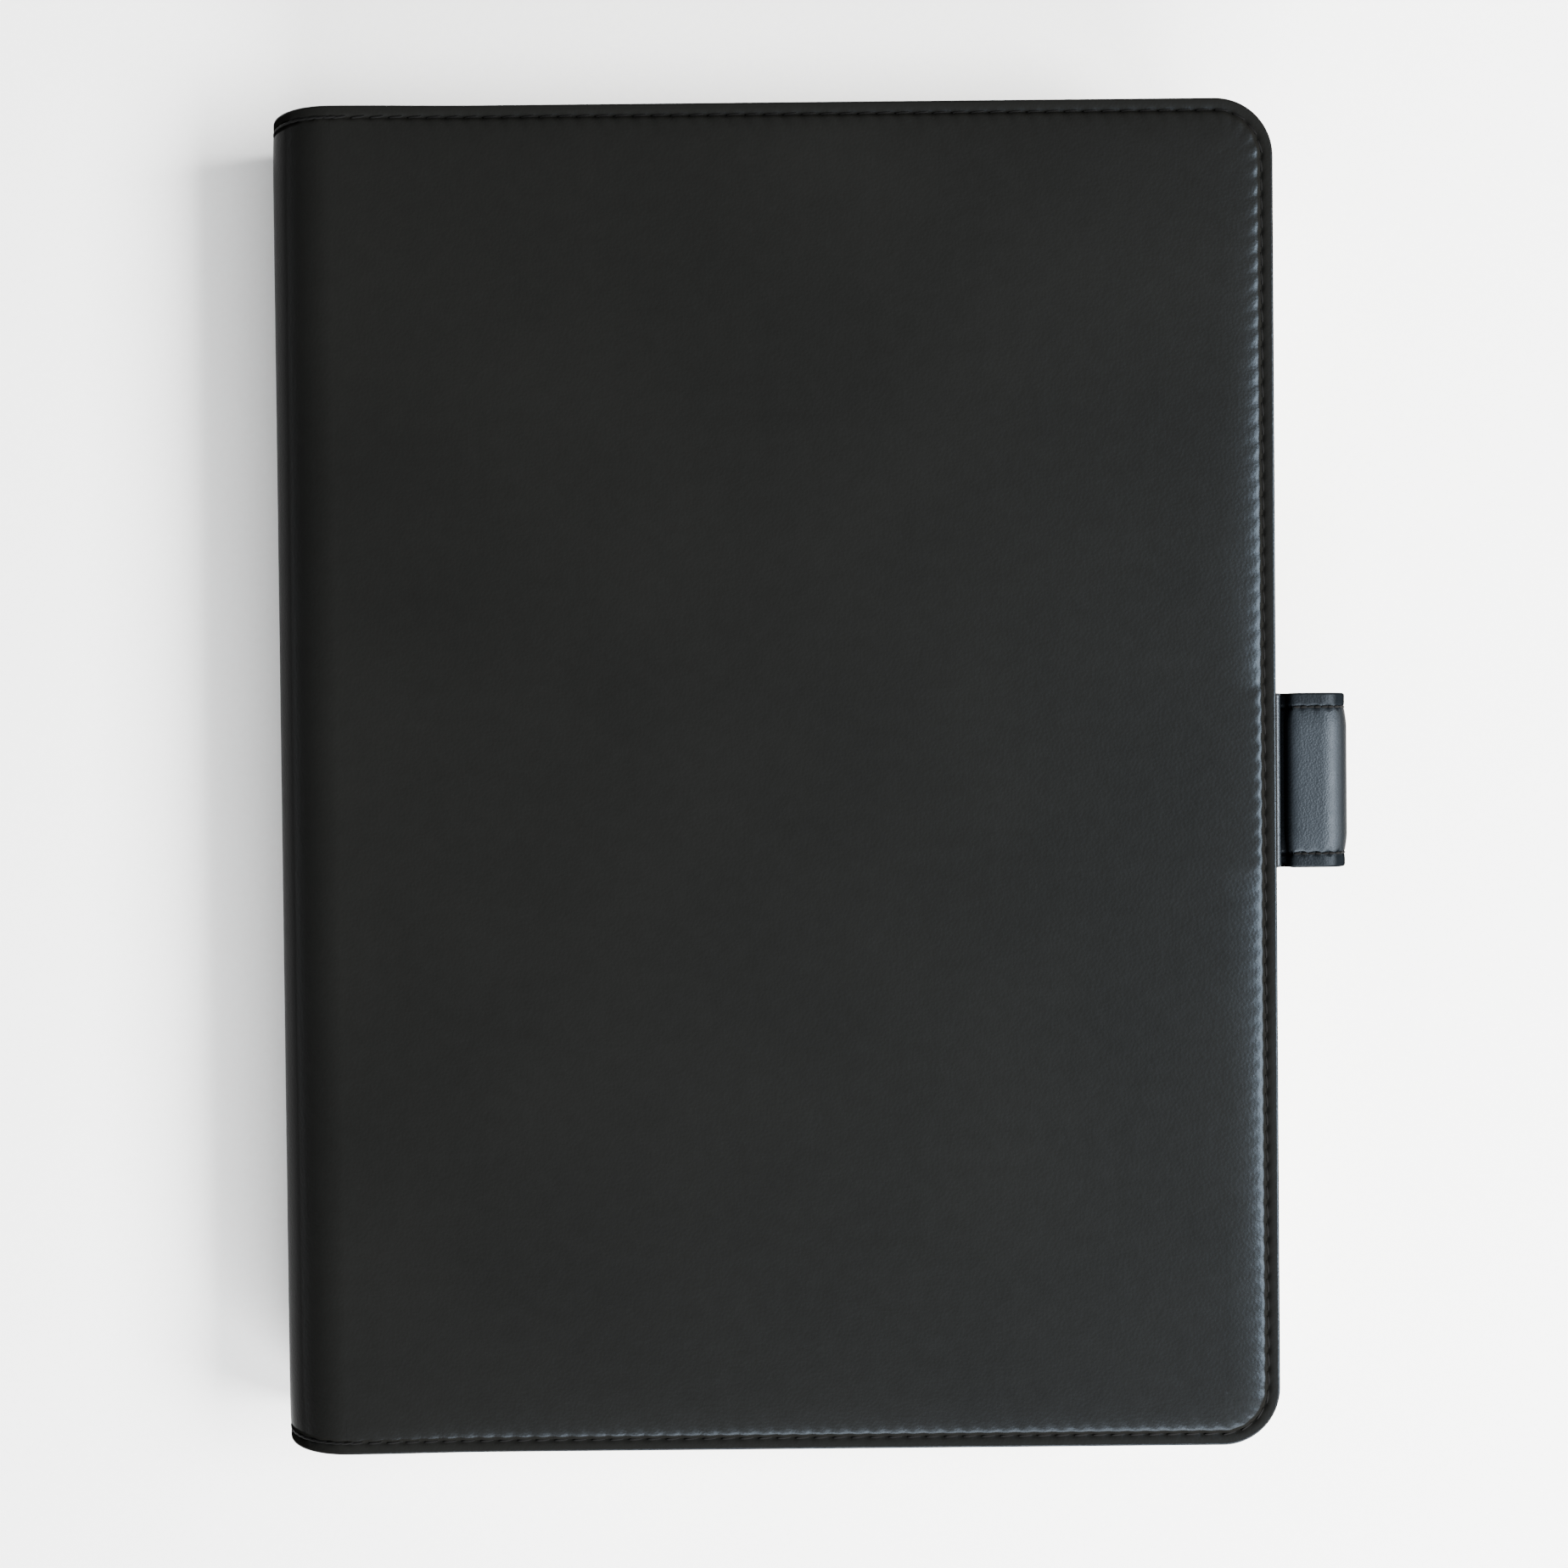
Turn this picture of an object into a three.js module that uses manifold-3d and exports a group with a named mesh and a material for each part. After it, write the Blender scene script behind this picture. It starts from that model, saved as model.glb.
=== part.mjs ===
// An A5 leather notebook cover, closed round a sewn A5 notebook. Millimetres, +Z up.
// The origin is the middle of the back cover's outer face, on which the closed cover lies.
// +X points to the fore-edge with the pen loop, -X to the rounded spine, +Y to the head.
import * as THREE from "three";
import { mergeVertices } from "three/addons/utils/BufferGeometryUtils.js";
import Module from "manifold-3d";

const wasm = await Module();
wasm.setup();

// ---- Driving dimensions ----
const coverHeight = 220; // head to tail
const coverWidth = 165; // outside of the spine to the fore-edge
const closedThickness = 24; // back face to front face
const cornerRadius = 9.5; // at the two fore-edge corners
const spineRadius = closedThickness / 2; // the spine is a half round
const spineStrips = 2; // the soft spine bends as this many strips, with folds between them
const stripGap = 0.34; // between two strips, on the outside

const leather = 1.1; // outer leather
const foam = 0.55; // padding sheet
const board = 0.8; // stiffener
const turnIn = 0.5; // pared edge of the outer leather, folded inside
const lining = 0.4;
const spineLining = 0.65; // lining over the spine, backed by tape
const card = 0.6; // the notebook's own cover
const sleeve = 0.6; // leather sleeve that holds the card
const pocket = 0.45; // card pocket leather
const gluedGap = 0.05; // between layers that are glued
const looseGap = 0.1; // between layers that slide

const turnInWidth = 9;
const turnInStart = 3.3; // from the spine's tangent line to the folded edge
const liningInset = 1.6; // from the leather's edge
const boardInset = 4.5;
const hingeAllowance = 3.5; // from the spine's tangent line to the board
const liningRampStart = 1; // the lining climbs from the spine to the panel's inner face
const liningRampEnd = 3;
const liningRampShift = 0.3; // its upper side climbs this much sooner

const seamInset = 2; // the seam's distance from the edge
const grooveWidth = 1;
const grooveDepth = 0.5;
const threadWidth = 0.4;
const threadHeight = 0.3;
const threadSunk = 0.05; // its top lies this far below the groove's bottom edge
const threadStart = 0.5; // from the spine's tangent line

const sleeveMouth = -20; // the sleeve's open edge
const sleeveSeam = 2; // width of the sleeve's sewn rim
const pocketLeft = -14;
const pocketTallest = 92;
const pocketStep = 17;
const pocketCount = 3;

const pageWidth = 148;
const pageHeight = 210;
const pageCorner = 6;
const pageHang = 3; // the cover's overhang past the pages
const cardHang = 3.9; // and past the notebook's own cards
const pageRoom = 0.15; // between the pages and the back sleeve
const signatureGap = 0.08;
const backSignatures = 5;
const frontSignatures = 4;
const splitGap = 0.1; // between the two halves of the closed notebook

const loopWidth = 28.5; // along the fore-edge
const loopRadius = 5.4; // outside of the loop
const loopLeather = 0.9;
const loopLining = 0.5;
const loopLiningInset = 0.5; // from the strap's edges
const loopReach = 7.1; // fore-edge to the loop's centre
const loopCentreZ = 18.3;
const loopCentreY = -1;
const strapLands = 118; // degrees round the loop where the strap's top joins the round
const strapLeaves = -160; // and where its underside comes off again
const strapShoulder = 1.6; // from the fore-edge to the strap's bend
const strapDrop = 0.9; // the bend's height below the neck's top
const neckGap = 0.25; // between the tab's end and the strap
const tabThickness = 1;
const tabDepth = 0.25; // from the foam's outer face to the tab
const tabReach = 4.1; // the tab runs in from the fore-edge
const tabProud = 0.2; // and out past it
const slotRoomWide = 0.3; // round the tab, where it goes through the leather
const slotRoomHigh = 0.1;
const slotDepth = 2;

// ---- Places worked out from them ----
const half = coverHeight / 2;
const foreEdge = coverWidth / 2;
const foldX = -foreEdge + spineRadius; // tangent line of the spine and the flat panels
const middleZ = closedThickness / 2;
const stripAngle = Math.PI / (spineStrips + 1);
const gapAngle = stripGap / 2 / spineRadius; // half a gap, seen from the spine's centre
const farLeft = -coverWidth; // past the spine
const farUp = 2 * closedThickness;
const farDown = -closedThickness;

// Heights above a panel's outer face.
const foamBottom = leather + gluedGap;
const boardBottom = foamBottom + foam + gluedGap;
const turnInBottom = boardBottom + board + gluedGap;
const liningBottom = turnInBottom + turnIn + gluedGap * 2;
const liningTop = liningBottom + lining;
const cardBottom = liningTop + looseGap;
const cardTop = cardBottom + card;
const sleeveBottom = cardTop + looseGap;
const sleeveTop = sleeveBottom + sleeve;
const pocketPitch = pocket + gluedGap;
const pocketsTop = sleeveTop + pocketCount * pocketPitch;
const spineLiningBottom = leather + gluedGap;
const spineLiningTop = spineLiningBottom + spineLining;

const pageRight = foreEdge - pageHang;
const pageLeft = pageRight - pageWidth;
const cardLeft = pageLeft - looseGap;
const tabTop = closedThickness - foamBottom - tabDepth;
const tabBottom = tabTop - tabThickness;
const loopTail = loopCentreY - loopWidth / 2;
const loopHead = loopCentreY + loopWidth / 2;

// Steps along each kind of curve.
const cornerSteps = 5;
const pageCornerSteps = 3;
const stripSteps = 8;
const hingeSteps = 4;
const loopSteps = 14;

// ---- Materials ----
const material = (hex, roughness) =>
  new THREE.MeshStandardMaterial({ color: hex, roughness, metalness: 0 });
const outerLeather = material(0x1b1c1d, 0.42);
const innerLeather = material(0x202122, 0.5);
const liningCloth = material(0x2a2c2f, 0.85);
const foamSheet = material(0x3a3a3a, 0.95);
const greyBoard = material(0x8d8a82, 0.9);
const threadBlack = material(0x151618, 0.6);
const paperCream = material(0xf2ecdc, 0.9);
const cardStock = material(0x2b3038, 0.75);

// ---- Solids ----
const weldTolerance = 1e-4;

function toSolid(geometry) {
  const bare = geometry.index ? geometry.toNonIndexed() : geometry.clone();
  bare.deleteAttribute("normal");
  bare.deleteAttribute("uv");
  const merged = mergeVertices(bare, weldTolerance);
  return new wasm.Manifold(
    new wasm.Mesh({
      numProp: 3,
      vertProperties: merged.attributes.position.array,
      triVerts: new Uint32Array(merged.index.array),
    }),
  );
}

function toMesh(name, solid, look) {
  const { numProp, vertProperties, triVerts } = solid.getMesh();
  const count = vertProperties.length / numProp;
  const position = new Float32Array(count * 3);
  for (let i = 0; i < count; i++) {
    position.set(vertProperties.subarray(i * numProp, i * numProp + 3), i * 3);
  }
  const geometry = new THREE.BufferGeometry();
  geometry.setAttribute("position", new THREE.BufferAttribute(position, 3));
  geometry.setIndex(new THREE.BufferAttribute(triVerts, 1));
  geometry.computeVertexNormals();
  const mesh = new THREE.Mesh(geometry, look);
  mesh.name = name;
  return mesh;
}

// A flat outline, raised from one height to another.
function slab(shape, low, high, curveSegments = cornerSteps) {
  const options = { depth: high - low, bevelEnabled: false, curveSegments };
  const geometry = new THREE.ExtrudeGeometry(shape, options);
  geometry.translate(0, 0, low);
  return toSolid(geometry);
}

// A section drawn in the XZ plane, run along Y from one place to another.
function alongY(section, low, high, curveSegments = stripSteps) {
  const options = { depth: high - low, bevelEnabled: false, curveSegments };
  const geometry = new THREE.ExtrudeGeometry(section, options);
  geometry.rotateX(Math.PI / 2);
  geometry.translate(0, high, 0);
  return toSolid(geometry);
}

// A straight-sided block.
function block(left, right, tail, head, low, high) {
  const shape = new THREE.Shape();
  shape.moveTo(left, tail);
  shape.lineTo(right, tail);
  shape.lineTo(right, head);
  shape.lineTo(left, head);
  shape.closePath();
  return slab(shape, low, high);
}

// A leaf's outline, with its two fore-edge corners rounded.
function leafShape(left, right, halfHeight, radius) {
  const shape = new THREE.Shape();
  shape.moveTo(left, -halfHeight);
  shape.lineTo(right - radius, -halfHeight);
  shape.absarc(right - radius, radius - halfHeight, radius, -Math.PI / 2, 0, false);
  shape.lineTo(right, halfHeight - radius);
  shape.absarc(right - radius, halfHeight - radius, radius, 0, Math.PI / 2, false);
  shape.lineTo(left, halfHeight);
  shape.closePath();
  return shape;
}

// The cover panel's outline, moved in from its edge on three sides.
function panelShape(inset, left) {
  return leafShape(left, foreEdge - inset, half - inset, cornerRadius - inset);
}

// An arc of the spine's wall between two angles, counted from the back panel round to the front.
function spineArc(from, to, outer, inner) {
  const turn = (angle) => (3 * Math.PI) / 2 - angle;
  const shape = new THREE.Shape();
  shape.absarc(foldX, middleZ, outer, turn(from), turn(to), true);
  shape.absarc(foldX, middleZ, inner, turn(to), turn(from), false);
  shape.closePath();
  return shape;
}

// The short arc of leather or lining that belongs to a panel, beside its first fold, with a
// sliver across the tangent line so that arc and panel join in one solid.
const sliverBack = 0.02;
const sliverAhead = 0.3;
const sliverTrim = 0.001;

function hingeArc(low, high, halfHeight) {
  const arc = spineArc(0, stripAngle / 2 - gapAngle, spineRadius - low, spineRadius - high);
  const sliver = block(
    foldX - sliverBack,
    foldX + sliverAhead,
    -halfHeight,
    halfHeight,
    low + sliverTrim,
    high - sliverTrim,
  );
  return alongY(arc, -halfHeight, halfHeight, hingeSteps).add(sliver);
}

// ---- The two cover panels, drawn as the back one lies: outer face down at height 0 ----

// The slot in the edge of the front leather, where the pen loop's tab goes in. The panel is
// drawn before it is turned over, so head and tail change places.
function loopSlot() {
  const low = foamBottom + tabDepth - slotRoomHigh;
  const high = foamBottom + tabDepth + tabThickness + slotRoomHigh;
  return block(
    foreEdge - slotDepth,
    foreEdge + slotDepth,
    -loopHead - slotRoomWide,
    -loopTail + slotRoomWide,
    low,
    high,
  );
}

function panelLeather() {
  const whole = slab(panelShape(0, foldX), 0, turnInBottom + turnIn);
  const fill = slab(panelShape(leather, farLeft), leather, turnInBottom);
  const window = slab(panelShape(turnInWidth, farLeft), leather, farUp);
  const hinge = block(farLeft, foldX + turnInStart, -coverHeight, coverHeight, leather, farUp);
  const grooveOut = panelShape(seamInset - grooveWidth / 2, farLeft);
  const grooveIn = panelShape(seamInset + grooveWidth / 2, farLeft);
  const groove = slab(grooveOut, farDown, grooveDepth).subtract(slab(grooveIn, 2 * farDown, farUp));
  const panelPart = whole.subtract(fill).subtract(window).subtract(hinge).subtract(groove);
  return panelPart.add(hingeArc(0, leather, half));
}

function panelLining() {
  const halfHeight = half - liningInset;
  const section = new THREE.Shape();
  section.moveTo(foldX, spineLiningBottom);
  section.lineTo(foldX + liningRampStart, spineLiningBottom);
  section.lineTo(foldX + liningRampEnd, liningBottom);
  section.lineTo(foreEdge, liningBottom);
  section.lineTo(foreEdge, liningTop);
  section.lineTo(foldX + liningRampEnd - liningRampShift, liningTop);
  section.lineTo(foldX + liningRampStart - liningRampShift, spineLiningTop);
  section.lineTo(foldX, spineLiningTop);
  section.closePath();
  const outline = slab(panelShape(liningInset, farLeft), farDown, farUp);
  const panelPart = alongY(section, -halfHeight, halfHeight).intersect(outline);
  return panelPart.add(hingeArc(spineLiningBottom, spineLiningTop, halfHeight));
}

function panelSleeve() {
  const sheet = slab(panelShape(liningInset, sleeveMouth), liningTop + gluedGap, sleeveTop);
  const room = slab(panelShape(liningInset + sleeveSeam, farLeft), farDown, sleeveBottom);
  return sheet.subtract(room);
}

function panelThread() {
  const high = grooveDepth - threadSunk;
  const outline = panelShape(seamInset - threadWidth / 2, foldX + threadStart);
  const inside = panelShape(seamInset + threadWidth / 2, farLeft);
  return slab(outline, high - threadHeight, high).subtract(slab(inside, farDown, farUp));
}

function panel(side, panelSkin) {
  const group = new THREE.Group();
  const stiffener = (low, thickness) =>
    slab(panelShape(boardInset, foldX + hingeAllowance), low, low + thickness);
  group.add(toMesh(side + "_leather", panelSkin, outerLeather));
  group.add(toMesh(side + "_foam", stiffener(foamBottom, foam), foamSheet));
  group.add(toMesh(side + "_board", stiffener(boardBottom, board), greyBoard));
  group.add(toMesh(side + "_lining", panelLining(), liningCloth));
  group.add(toMesh(side + "_sleeve", panelSleeve(), innerLeather));
  group.add(toMesh(side + "_seam_thread", panelThread(), threadBlack));
  return group;
}

// ---- Card pockets, stepped one in front of another on the front sleeve ----
function cardPocket(step) {
  const tail = half - liningInset; // the tail is +Y until the panel is turned over
  const mouth = tail - pocketTallest + step * pocketStep;
  const low = sleeveTop + gluedGap + step * pocketPitch;
  const strip = block(pocketLeft, foreEdge, mouth, coverHeight, low, low + pocket);
  const outline = slab(panelShape(liningInset, farLeft), farDown, farUp);
  return toMesh("card_pocket_" + (step + 1), strip.intersect(outline), innerLeather);
}

// ---- Spine strips ----
function spineStrip(index) {
  const group = new THREE.Group();
  const from = stripAngle * (index + 0.5) + gapAngle;
  const to = stripAngle * (index + 1.5) - gapAngle;
  const skinArc = spineArc(from, to, spineRadius, spineRadius - leather);
  const liningArc = spineArc(
    from,
    to,
    spineRadius - spineLiningBottom,
    spineRadius - spineLiningTop,
  );
  const skin = alongY(skinArc, -half, half);
  const backing = alongY(liningArc, liningInset - half, half - liningInset);
  group.add(toMesh("spine_leather_" + (index + 1), skin, outerLeather));
  group.add(toMesh("spine_lining_" + (index + 1), backing, liningCloth));
  return group;
}

// ---- Pen loop: a strap folded round a pen, its two ends sewn into the fore-edge ----
function penLoop() {
  const group = new THREE.Group();
  const centreX = foreEdge + loopReach;
  const neckX = foreEdge + tabProud + neckGap;
  const lands = THREE.MathUtils.degToRad(strapLands);
  const leaves = THREE.MathUtils.degToRad(strapLeaves);

  const strap = new THREE.Shape();
  strap.moveTo(neckX, tabTop);
  strap.quadraticCurveTo(
    foreEdge + strapShoulder,
    tabTop - strapDrop,
    centreX + loopRadius * Math.cos(lands),
    loopCentreZ + loopRadius * Math.sin(lands),
  );
  strap.absarc(centreX, loopCentreZ, loopRadius, lands, leaves, true);
  strap.lineTo(neckX, tabBottom);
  strap.closePath();
  const bore = new THREE.Path();
  bore.absarc(centreX, loopCentreZ, loopRadius - loopLeather, 0, 2 * Math.PI, false);
  strap.holes.push(bore);
  const strapSolid = alongY(strap, loopTail, loopHead, loopSteps);
  group.add(toMesh("pen_loop_strap", strapSolid, outerLeather));

  const ringOuter = loopRadius - loopLeather - looseGap;
  const ring = new THREE.Shape();
  ring.absarc(centreX, loopCentreZ, ringOuter, 0, 2 * Math.PI, false);
  const ringBore = new THREE.Path();
  ringBore.absarc(centreX, loopCentreZ, ringOuter - loopLining, 0, 2 * Math.PI, false);
  ring.holes.push(ringBore);
  const tail = loopTail + loopLiningInset;
  const head = loopHead - loopLiningInset;
  group.add(toMesh("pen_loop_lining", alongY(ring, tail, head, loopSteps), liningCloth));
  return group;
}

function penLoopTab() {
  const left = foreEdge - tabReach;
  const right = foreEdge + tabProud;
  const tab = block(left, right, loopTail, loopHead, tabBottom, tabTop);
  return toMesh("pen_loop_tab", tab, outerLeather);
}

// ---- The notebook ----
function notebookCard(name) {
  const shape = leafShape(cardLeft, foreEdge - cardHang, pageHeight / 2, pageCorner);
  return toMesh(name, slab(shape, cardBottom, cardTop, pageCornerSteps), cardStock);
}

function notebookSpine(name, low, high) {
  const end = pageHeight / 2;
  return toMesh(name, block(cardLeft - card, cardLeft, -end, end, low, high), cardStock);
}

function signatures(name, count, low, high) {
  const group = new THREE.Group();
  const pitch = (high - low + signatureGap) / count;
  const shape = leafShape(pageLeft, pageRight, pageHeight / 2, pageCorner);
  for (let i = 0; i < count; i++) {
    const bottom = low + i * pitch;
    const solid = slab(shape, bottom, bottom + pitch - signatureGap, pageCornerSteps);
    group.add(toMesh(name + "_" + (i + 1), solid, paperCream));
  }
  return group;
}

// ---- Assembly ----
const notebookCover = new THREE.Group();
const split = splitGap / 2;

notebookCover.add(panel("back", panelLeather()));
for (let i = 0; i < spineStrips; i++) {
  notebookCover.add(spineStrip(i));
}

const front = panel("front", panelLeather().subtract(loopSlot()));
for (let step = 0; step < pocketCount; step++) {
  front.add(cardPocket(step));
}
front.add(notebookCard("notebook_front_card"));
front.rotation.x = Math.PI; // turned over, to lie outer face up
front.position.z = closedThickness;
notebookCover.add(front);
notebookCover.add(penLoopTab());
notebookCover.add(penLoop());

const spineEnd = cardTop + looseGap;
notebookCover.add(notebookCard("notebook_back_card"));
notebookCover.add(notebookSpine("notebook_spine_back", spineEnd, middleZ - split));
notebookCover.add(
  notebookSpine("notebook_spine_front", middleZ + split, closedThickness - spineEnd),
);

const pagesBottom = sleeveTop + pageRoom;
const pagesTop = closedThickness - pocketsTop - looseGap;
notebookCover.add(signatures("signature_back", backSignatures, pagesBottom, middleZ - split));
notebookCover.add(signatures("signature_front", frontSignatures, middleZ + split, pagesTop));

export default notebookCover;
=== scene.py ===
import math

import bmesh
import bpy
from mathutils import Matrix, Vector
from mathutils.geometry import delaunay_2d_cdt


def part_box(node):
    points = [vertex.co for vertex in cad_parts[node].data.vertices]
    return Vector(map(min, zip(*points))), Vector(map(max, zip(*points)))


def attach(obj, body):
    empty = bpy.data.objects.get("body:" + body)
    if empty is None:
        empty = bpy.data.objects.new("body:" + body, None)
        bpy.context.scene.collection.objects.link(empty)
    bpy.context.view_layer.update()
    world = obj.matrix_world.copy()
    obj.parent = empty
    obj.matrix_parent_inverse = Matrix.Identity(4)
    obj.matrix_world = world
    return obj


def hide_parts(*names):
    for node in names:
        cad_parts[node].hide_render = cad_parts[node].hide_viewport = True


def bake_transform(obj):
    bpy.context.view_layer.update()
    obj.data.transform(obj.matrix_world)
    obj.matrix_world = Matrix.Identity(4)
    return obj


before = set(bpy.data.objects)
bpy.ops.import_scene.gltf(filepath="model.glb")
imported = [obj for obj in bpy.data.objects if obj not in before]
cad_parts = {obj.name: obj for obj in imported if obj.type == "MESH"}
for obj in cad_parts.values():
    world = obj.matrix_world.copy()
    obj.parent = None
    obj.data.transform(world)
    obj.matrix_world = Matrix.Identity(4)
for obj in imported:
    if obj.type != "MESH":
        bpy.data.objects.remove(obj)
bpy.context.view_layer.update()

mm = 0.001

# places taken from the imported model, in millimetres


def nodeBox(name):
    low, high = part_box(name)
    return [v / mm for v in low], [v / mm for v in high]


foreEdge, halfHeight, closedThickness = nodeBox("front_leather")[1]
tabLow, tabHigh = nodeBox("pen_loop_tab")
spineRadius = closedThickness / 2
foldX = nodeBox("spine_leather_1")[0][0] + spineRadius  # where the round spine meets the flat panels
middleZ = spineRadius
foldAngle = 60  # degrees of spine for each of its three folds
foldCount = 3
cornerRadius = 9.5


def panelLevel(depth, isFront):
    # the height of a layer that lies this deep in its panel
    return closedThickness - depth if isFront else depth


# small helpers


def linearColour(hexCode):
    channels = []
    for i in (0, 2, 4):
        v = int(hexCode[i:i + 2], 16) / 255
        channels.append(v / 12.92 if v <= 0.04045 else ((v + 0.055) / 1.055) ** 2.4)
    return (*channels, 1.0)


def tinted(colour, share):
    # the same colour, darker or lighter
    return tuple(min(1, c * share) for c in colour[:3]) + (1.0,)


def addNode(tree, kind, settings=None, inputs=None):
    node = tree.nodes.new(kind)
    for name, value in (settings or {}).items():
        setattr(node, name, value)
    for key, value in (inputs or {}).items():
        socket = node.inputs[key]
        if isinstance(value, bpy.types.NodeSocket):
            tree.links.new(value, socket)
        else:
            socket.default_value = value
    return node


def smoothStep(low, high, x):
    t = min(max((x - low) / (high - low), 0), 1)
    return t * t * (3 - 2 * t)


def spread(low, high, step):
    # evenly spaced places from low to high, about one step apart
    count = max(1, round(abs(high - low) / step))
    return [low + (high - low) * i / count for i in range(count + 1)]


def makePiece(name, points, faces, materials, uv=None, sharpAngle=42, shares=None):
    # points are in millimetres; uv gives one place in metres for each point
    mesh = bpy.data.meshes.new(name)
    mesh.from_pydata([[c * mm for c in p] for p in points], [], faces)
    if uv:
        layer = mesh.uv_layers.new(name="unrolled")
        for loop in mesh.loops:
            layer.data[loop.index].uv = [c * mm for c in uv[loop.vertex_index]]
    for label, values in (shares or {}).items():
        attribute = mesh.attributes.new(label, "FLOAT", "POINT")
        attribute.data.foreach_set("value", values)
    for material in materials:
        mesh.materials.append(material)
    mesh.shade_smooth()
    mesh.set_sharp_from_angle(angle=math.radians(sharpAngle))
    mesh.validate()
    piece = bpy.data.objects.new(name, mesh)
    bpy.context.scene.collection.objects.link(piece)
    return piece


def faceOutwards(piece):
    work = bmesh.new()
    work.from_mesh(piece.data)
    bmesh.ops.recalc_face_normals(work, faces=work.faces)
    work.to_mesh(piece.data)
    work.free()
    return piece


# materials


def newMaterial(name):
    material = bpy.data.materials.new(name)
    material.use_nodes = True
    tree = material.node_tree
    return material, tree, tree.nodes["Principled BSDF"]


def grainedLeather(name, colour, roughness, grainSize, grainDepth, coordinates="unrolled",
                   index=1.2, haze=0.05, glossTint="FFFFFF", polish=0.06, sideShade=0.0, shadeTone=0.2):
    # top-grain leather with a thin pigment finish: a low, soft gloss broken up by fine pebbled grain
    material, tree, shader = newMaterial(name)
    if coordinates == "unrolled":
        place = addNode(tree, "ShaderNodeUVMap", {"uv_map": "unrolled"}).outputs["UV"]
    else:
        place = addNode(tree, "ShaderNodeTexCoord").outputs["Object"]
    inMm = addNode(tree, "ShaderNodeVectorMath", {"operation": "SCALE"}, {0: place, "Scale": 1000.0})
    point = inMm.outputs[0]
    cells = addNode(tree, "ShaderNodeTexVoronoi", {"feature": "SMOOTH_F1"},
                    {"Vector": point, "Scale": 1 / grainSize, "Smoothness": 0.55, "Randomness": 0.9})
    fine = addNode(tree, "ShaderNodeTexNoise", None,
                   {"Vector": point, "Scale": 2.6 / grainSize, "Detail": 2.0, "Roughness": 0.6})
    broad = addNode(tree, "ShaderNodeTexNoise", None,
                    {"Vector": point, "Scale": 0.022, "Detail": 3.0, "Roughness": 0.55})
    mottled = addNode(tree, "ShaderNodeTexNoise", None,
                      {"Vector": point, "Scale": 0.35, "Detail": 3.0, "Roughness": 0.6})
    grain = addNode(tree, "ShaderNodeMath", {"operation": "MULTIPLY_ADD"},
                    {0: fine.outputs["Fac"], 1: 0.45, 2: cells.outputs["Distance"]})
    bump = addNode(tree, "ShaderNodeBump", None,
                   {"Height": grain.outputs[0], "Distance": grainDepth * mm, "Strength": 1.0})
    dark = linearColour(colour)
    tone = addNode(tree, "ShaderNodeMath", {"operation": "MULTIPLY_ADD"},
                   {0: mottled.outputs["Fac"], 1: 0.35, 2: broad.outputs["Fac"]})
    toneRange = addNode(tree, "ShaderNodeMapRange", None,
                        {"Value": tone.outputs[0], "From Min": 0.45, "From Max": 0.9})
    mix = addNode(tree, "ShaderNodeMix", {"data_type": "RGBA"},
                  {"Factor": toneRange.outputs[0], 6: dark, 7: tinted(dark, 1.22)})
    gloss = addNode(tree, "ShaderNodeMath", {"operation": "MULTIPLY_ADD"},
                    {0: mottled.outputs["Fac"], 1: haze * 2, 2: roughness - haze})
    rub = addNode(tree, "ShaderNodeAttribute", {"attribute_name": "burnish"})
    glossWorn = addNode(tree, "ShaderNodeMath", {"operation": "MULTIPLY_ADD"},
                        {0: rub.outputs["Fac"], 1: -polish, 2: gloss.outputs[0]})
    # painted shade: the crease share (creases, needle pits, hems) mixes the colour towards the shade tone and
    # dulls the gloss; on the cover that tone is a touch lighter, a painted lift
    fold = addNode(tree, "ShaderNodeAttribute", {"attribute_name": "crease"})
    # painted shade where the surface is seen edge-on, as much as the side-shade amount, and its gloss fades
    # there
    facing = addNode(tree, "ShaderNodeLayerWeight", None, {"Blend": 0.5})
    aside = addNode(tree, "ShaderNodeMapRange", None,
                    {"Value": facing.outputs["Facing"], "From Min": 0.3, "From Max": 0.65,
                     "To Min": 0.0, "To Max": sideShade})
    shade = addNode(tree, "ShaderNodeMath", {"operation": "MAXIMUM"},
                    {0: fold.outputs["Fac"], 1: aside.outputs[0]})
    creased = addNode(tree, "ShaderNodeMix", {"data_type": "RGBA"},
                      {"Factor": shade.outputs[0], 6: mix.outputs[2], 7: tinted(dark, shadeTone)})
    turned = addNode(tree, "ShaderNodeMapRange", None,
                     {"Value": facing.outputs["Facing"], "From Min": 0.16, "From Max": 0.46,
                      "To Min": 0.5, "To Max": 0.03})
    rubbed = addNode(tree, "ShaderNodeMath", {"operation": "MULTIPLY_ADD"},
                     {0: rub.outputs["Fac"], 1: 2 * polish, 2: turned.outputs[0]})
    gleam = addNode(tree, "ShaderNodeMath", {"operation": "MULTIPLY_ADD"},
                    {0: fold.outputs["Fac"], 1: -0.45, 2: rubbed.outputs[0]})
    level = addNode(tree, "ShaderNodeMath", {"operation": "MAXIMUM"}, {0: gleam.outputs[0], 1: 0.0})
    tree.links.new(level.outputs[0], shader.inputs["Specular IOR Level"])
    tree.links.new(creased.outputs[2], shader.inputs["Base Color"])
    tree.links.new(glossWorn.outputs[0], shader.inputs["Roughness"])
    tree.links.new(bump.outputs[0], shader.inputs["Normal"])
    shader.inputs["IOR"].default_value = index
    shader.inputs["Specular Tint"].default_value = linearColour(glossTint)
    return material


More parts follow.
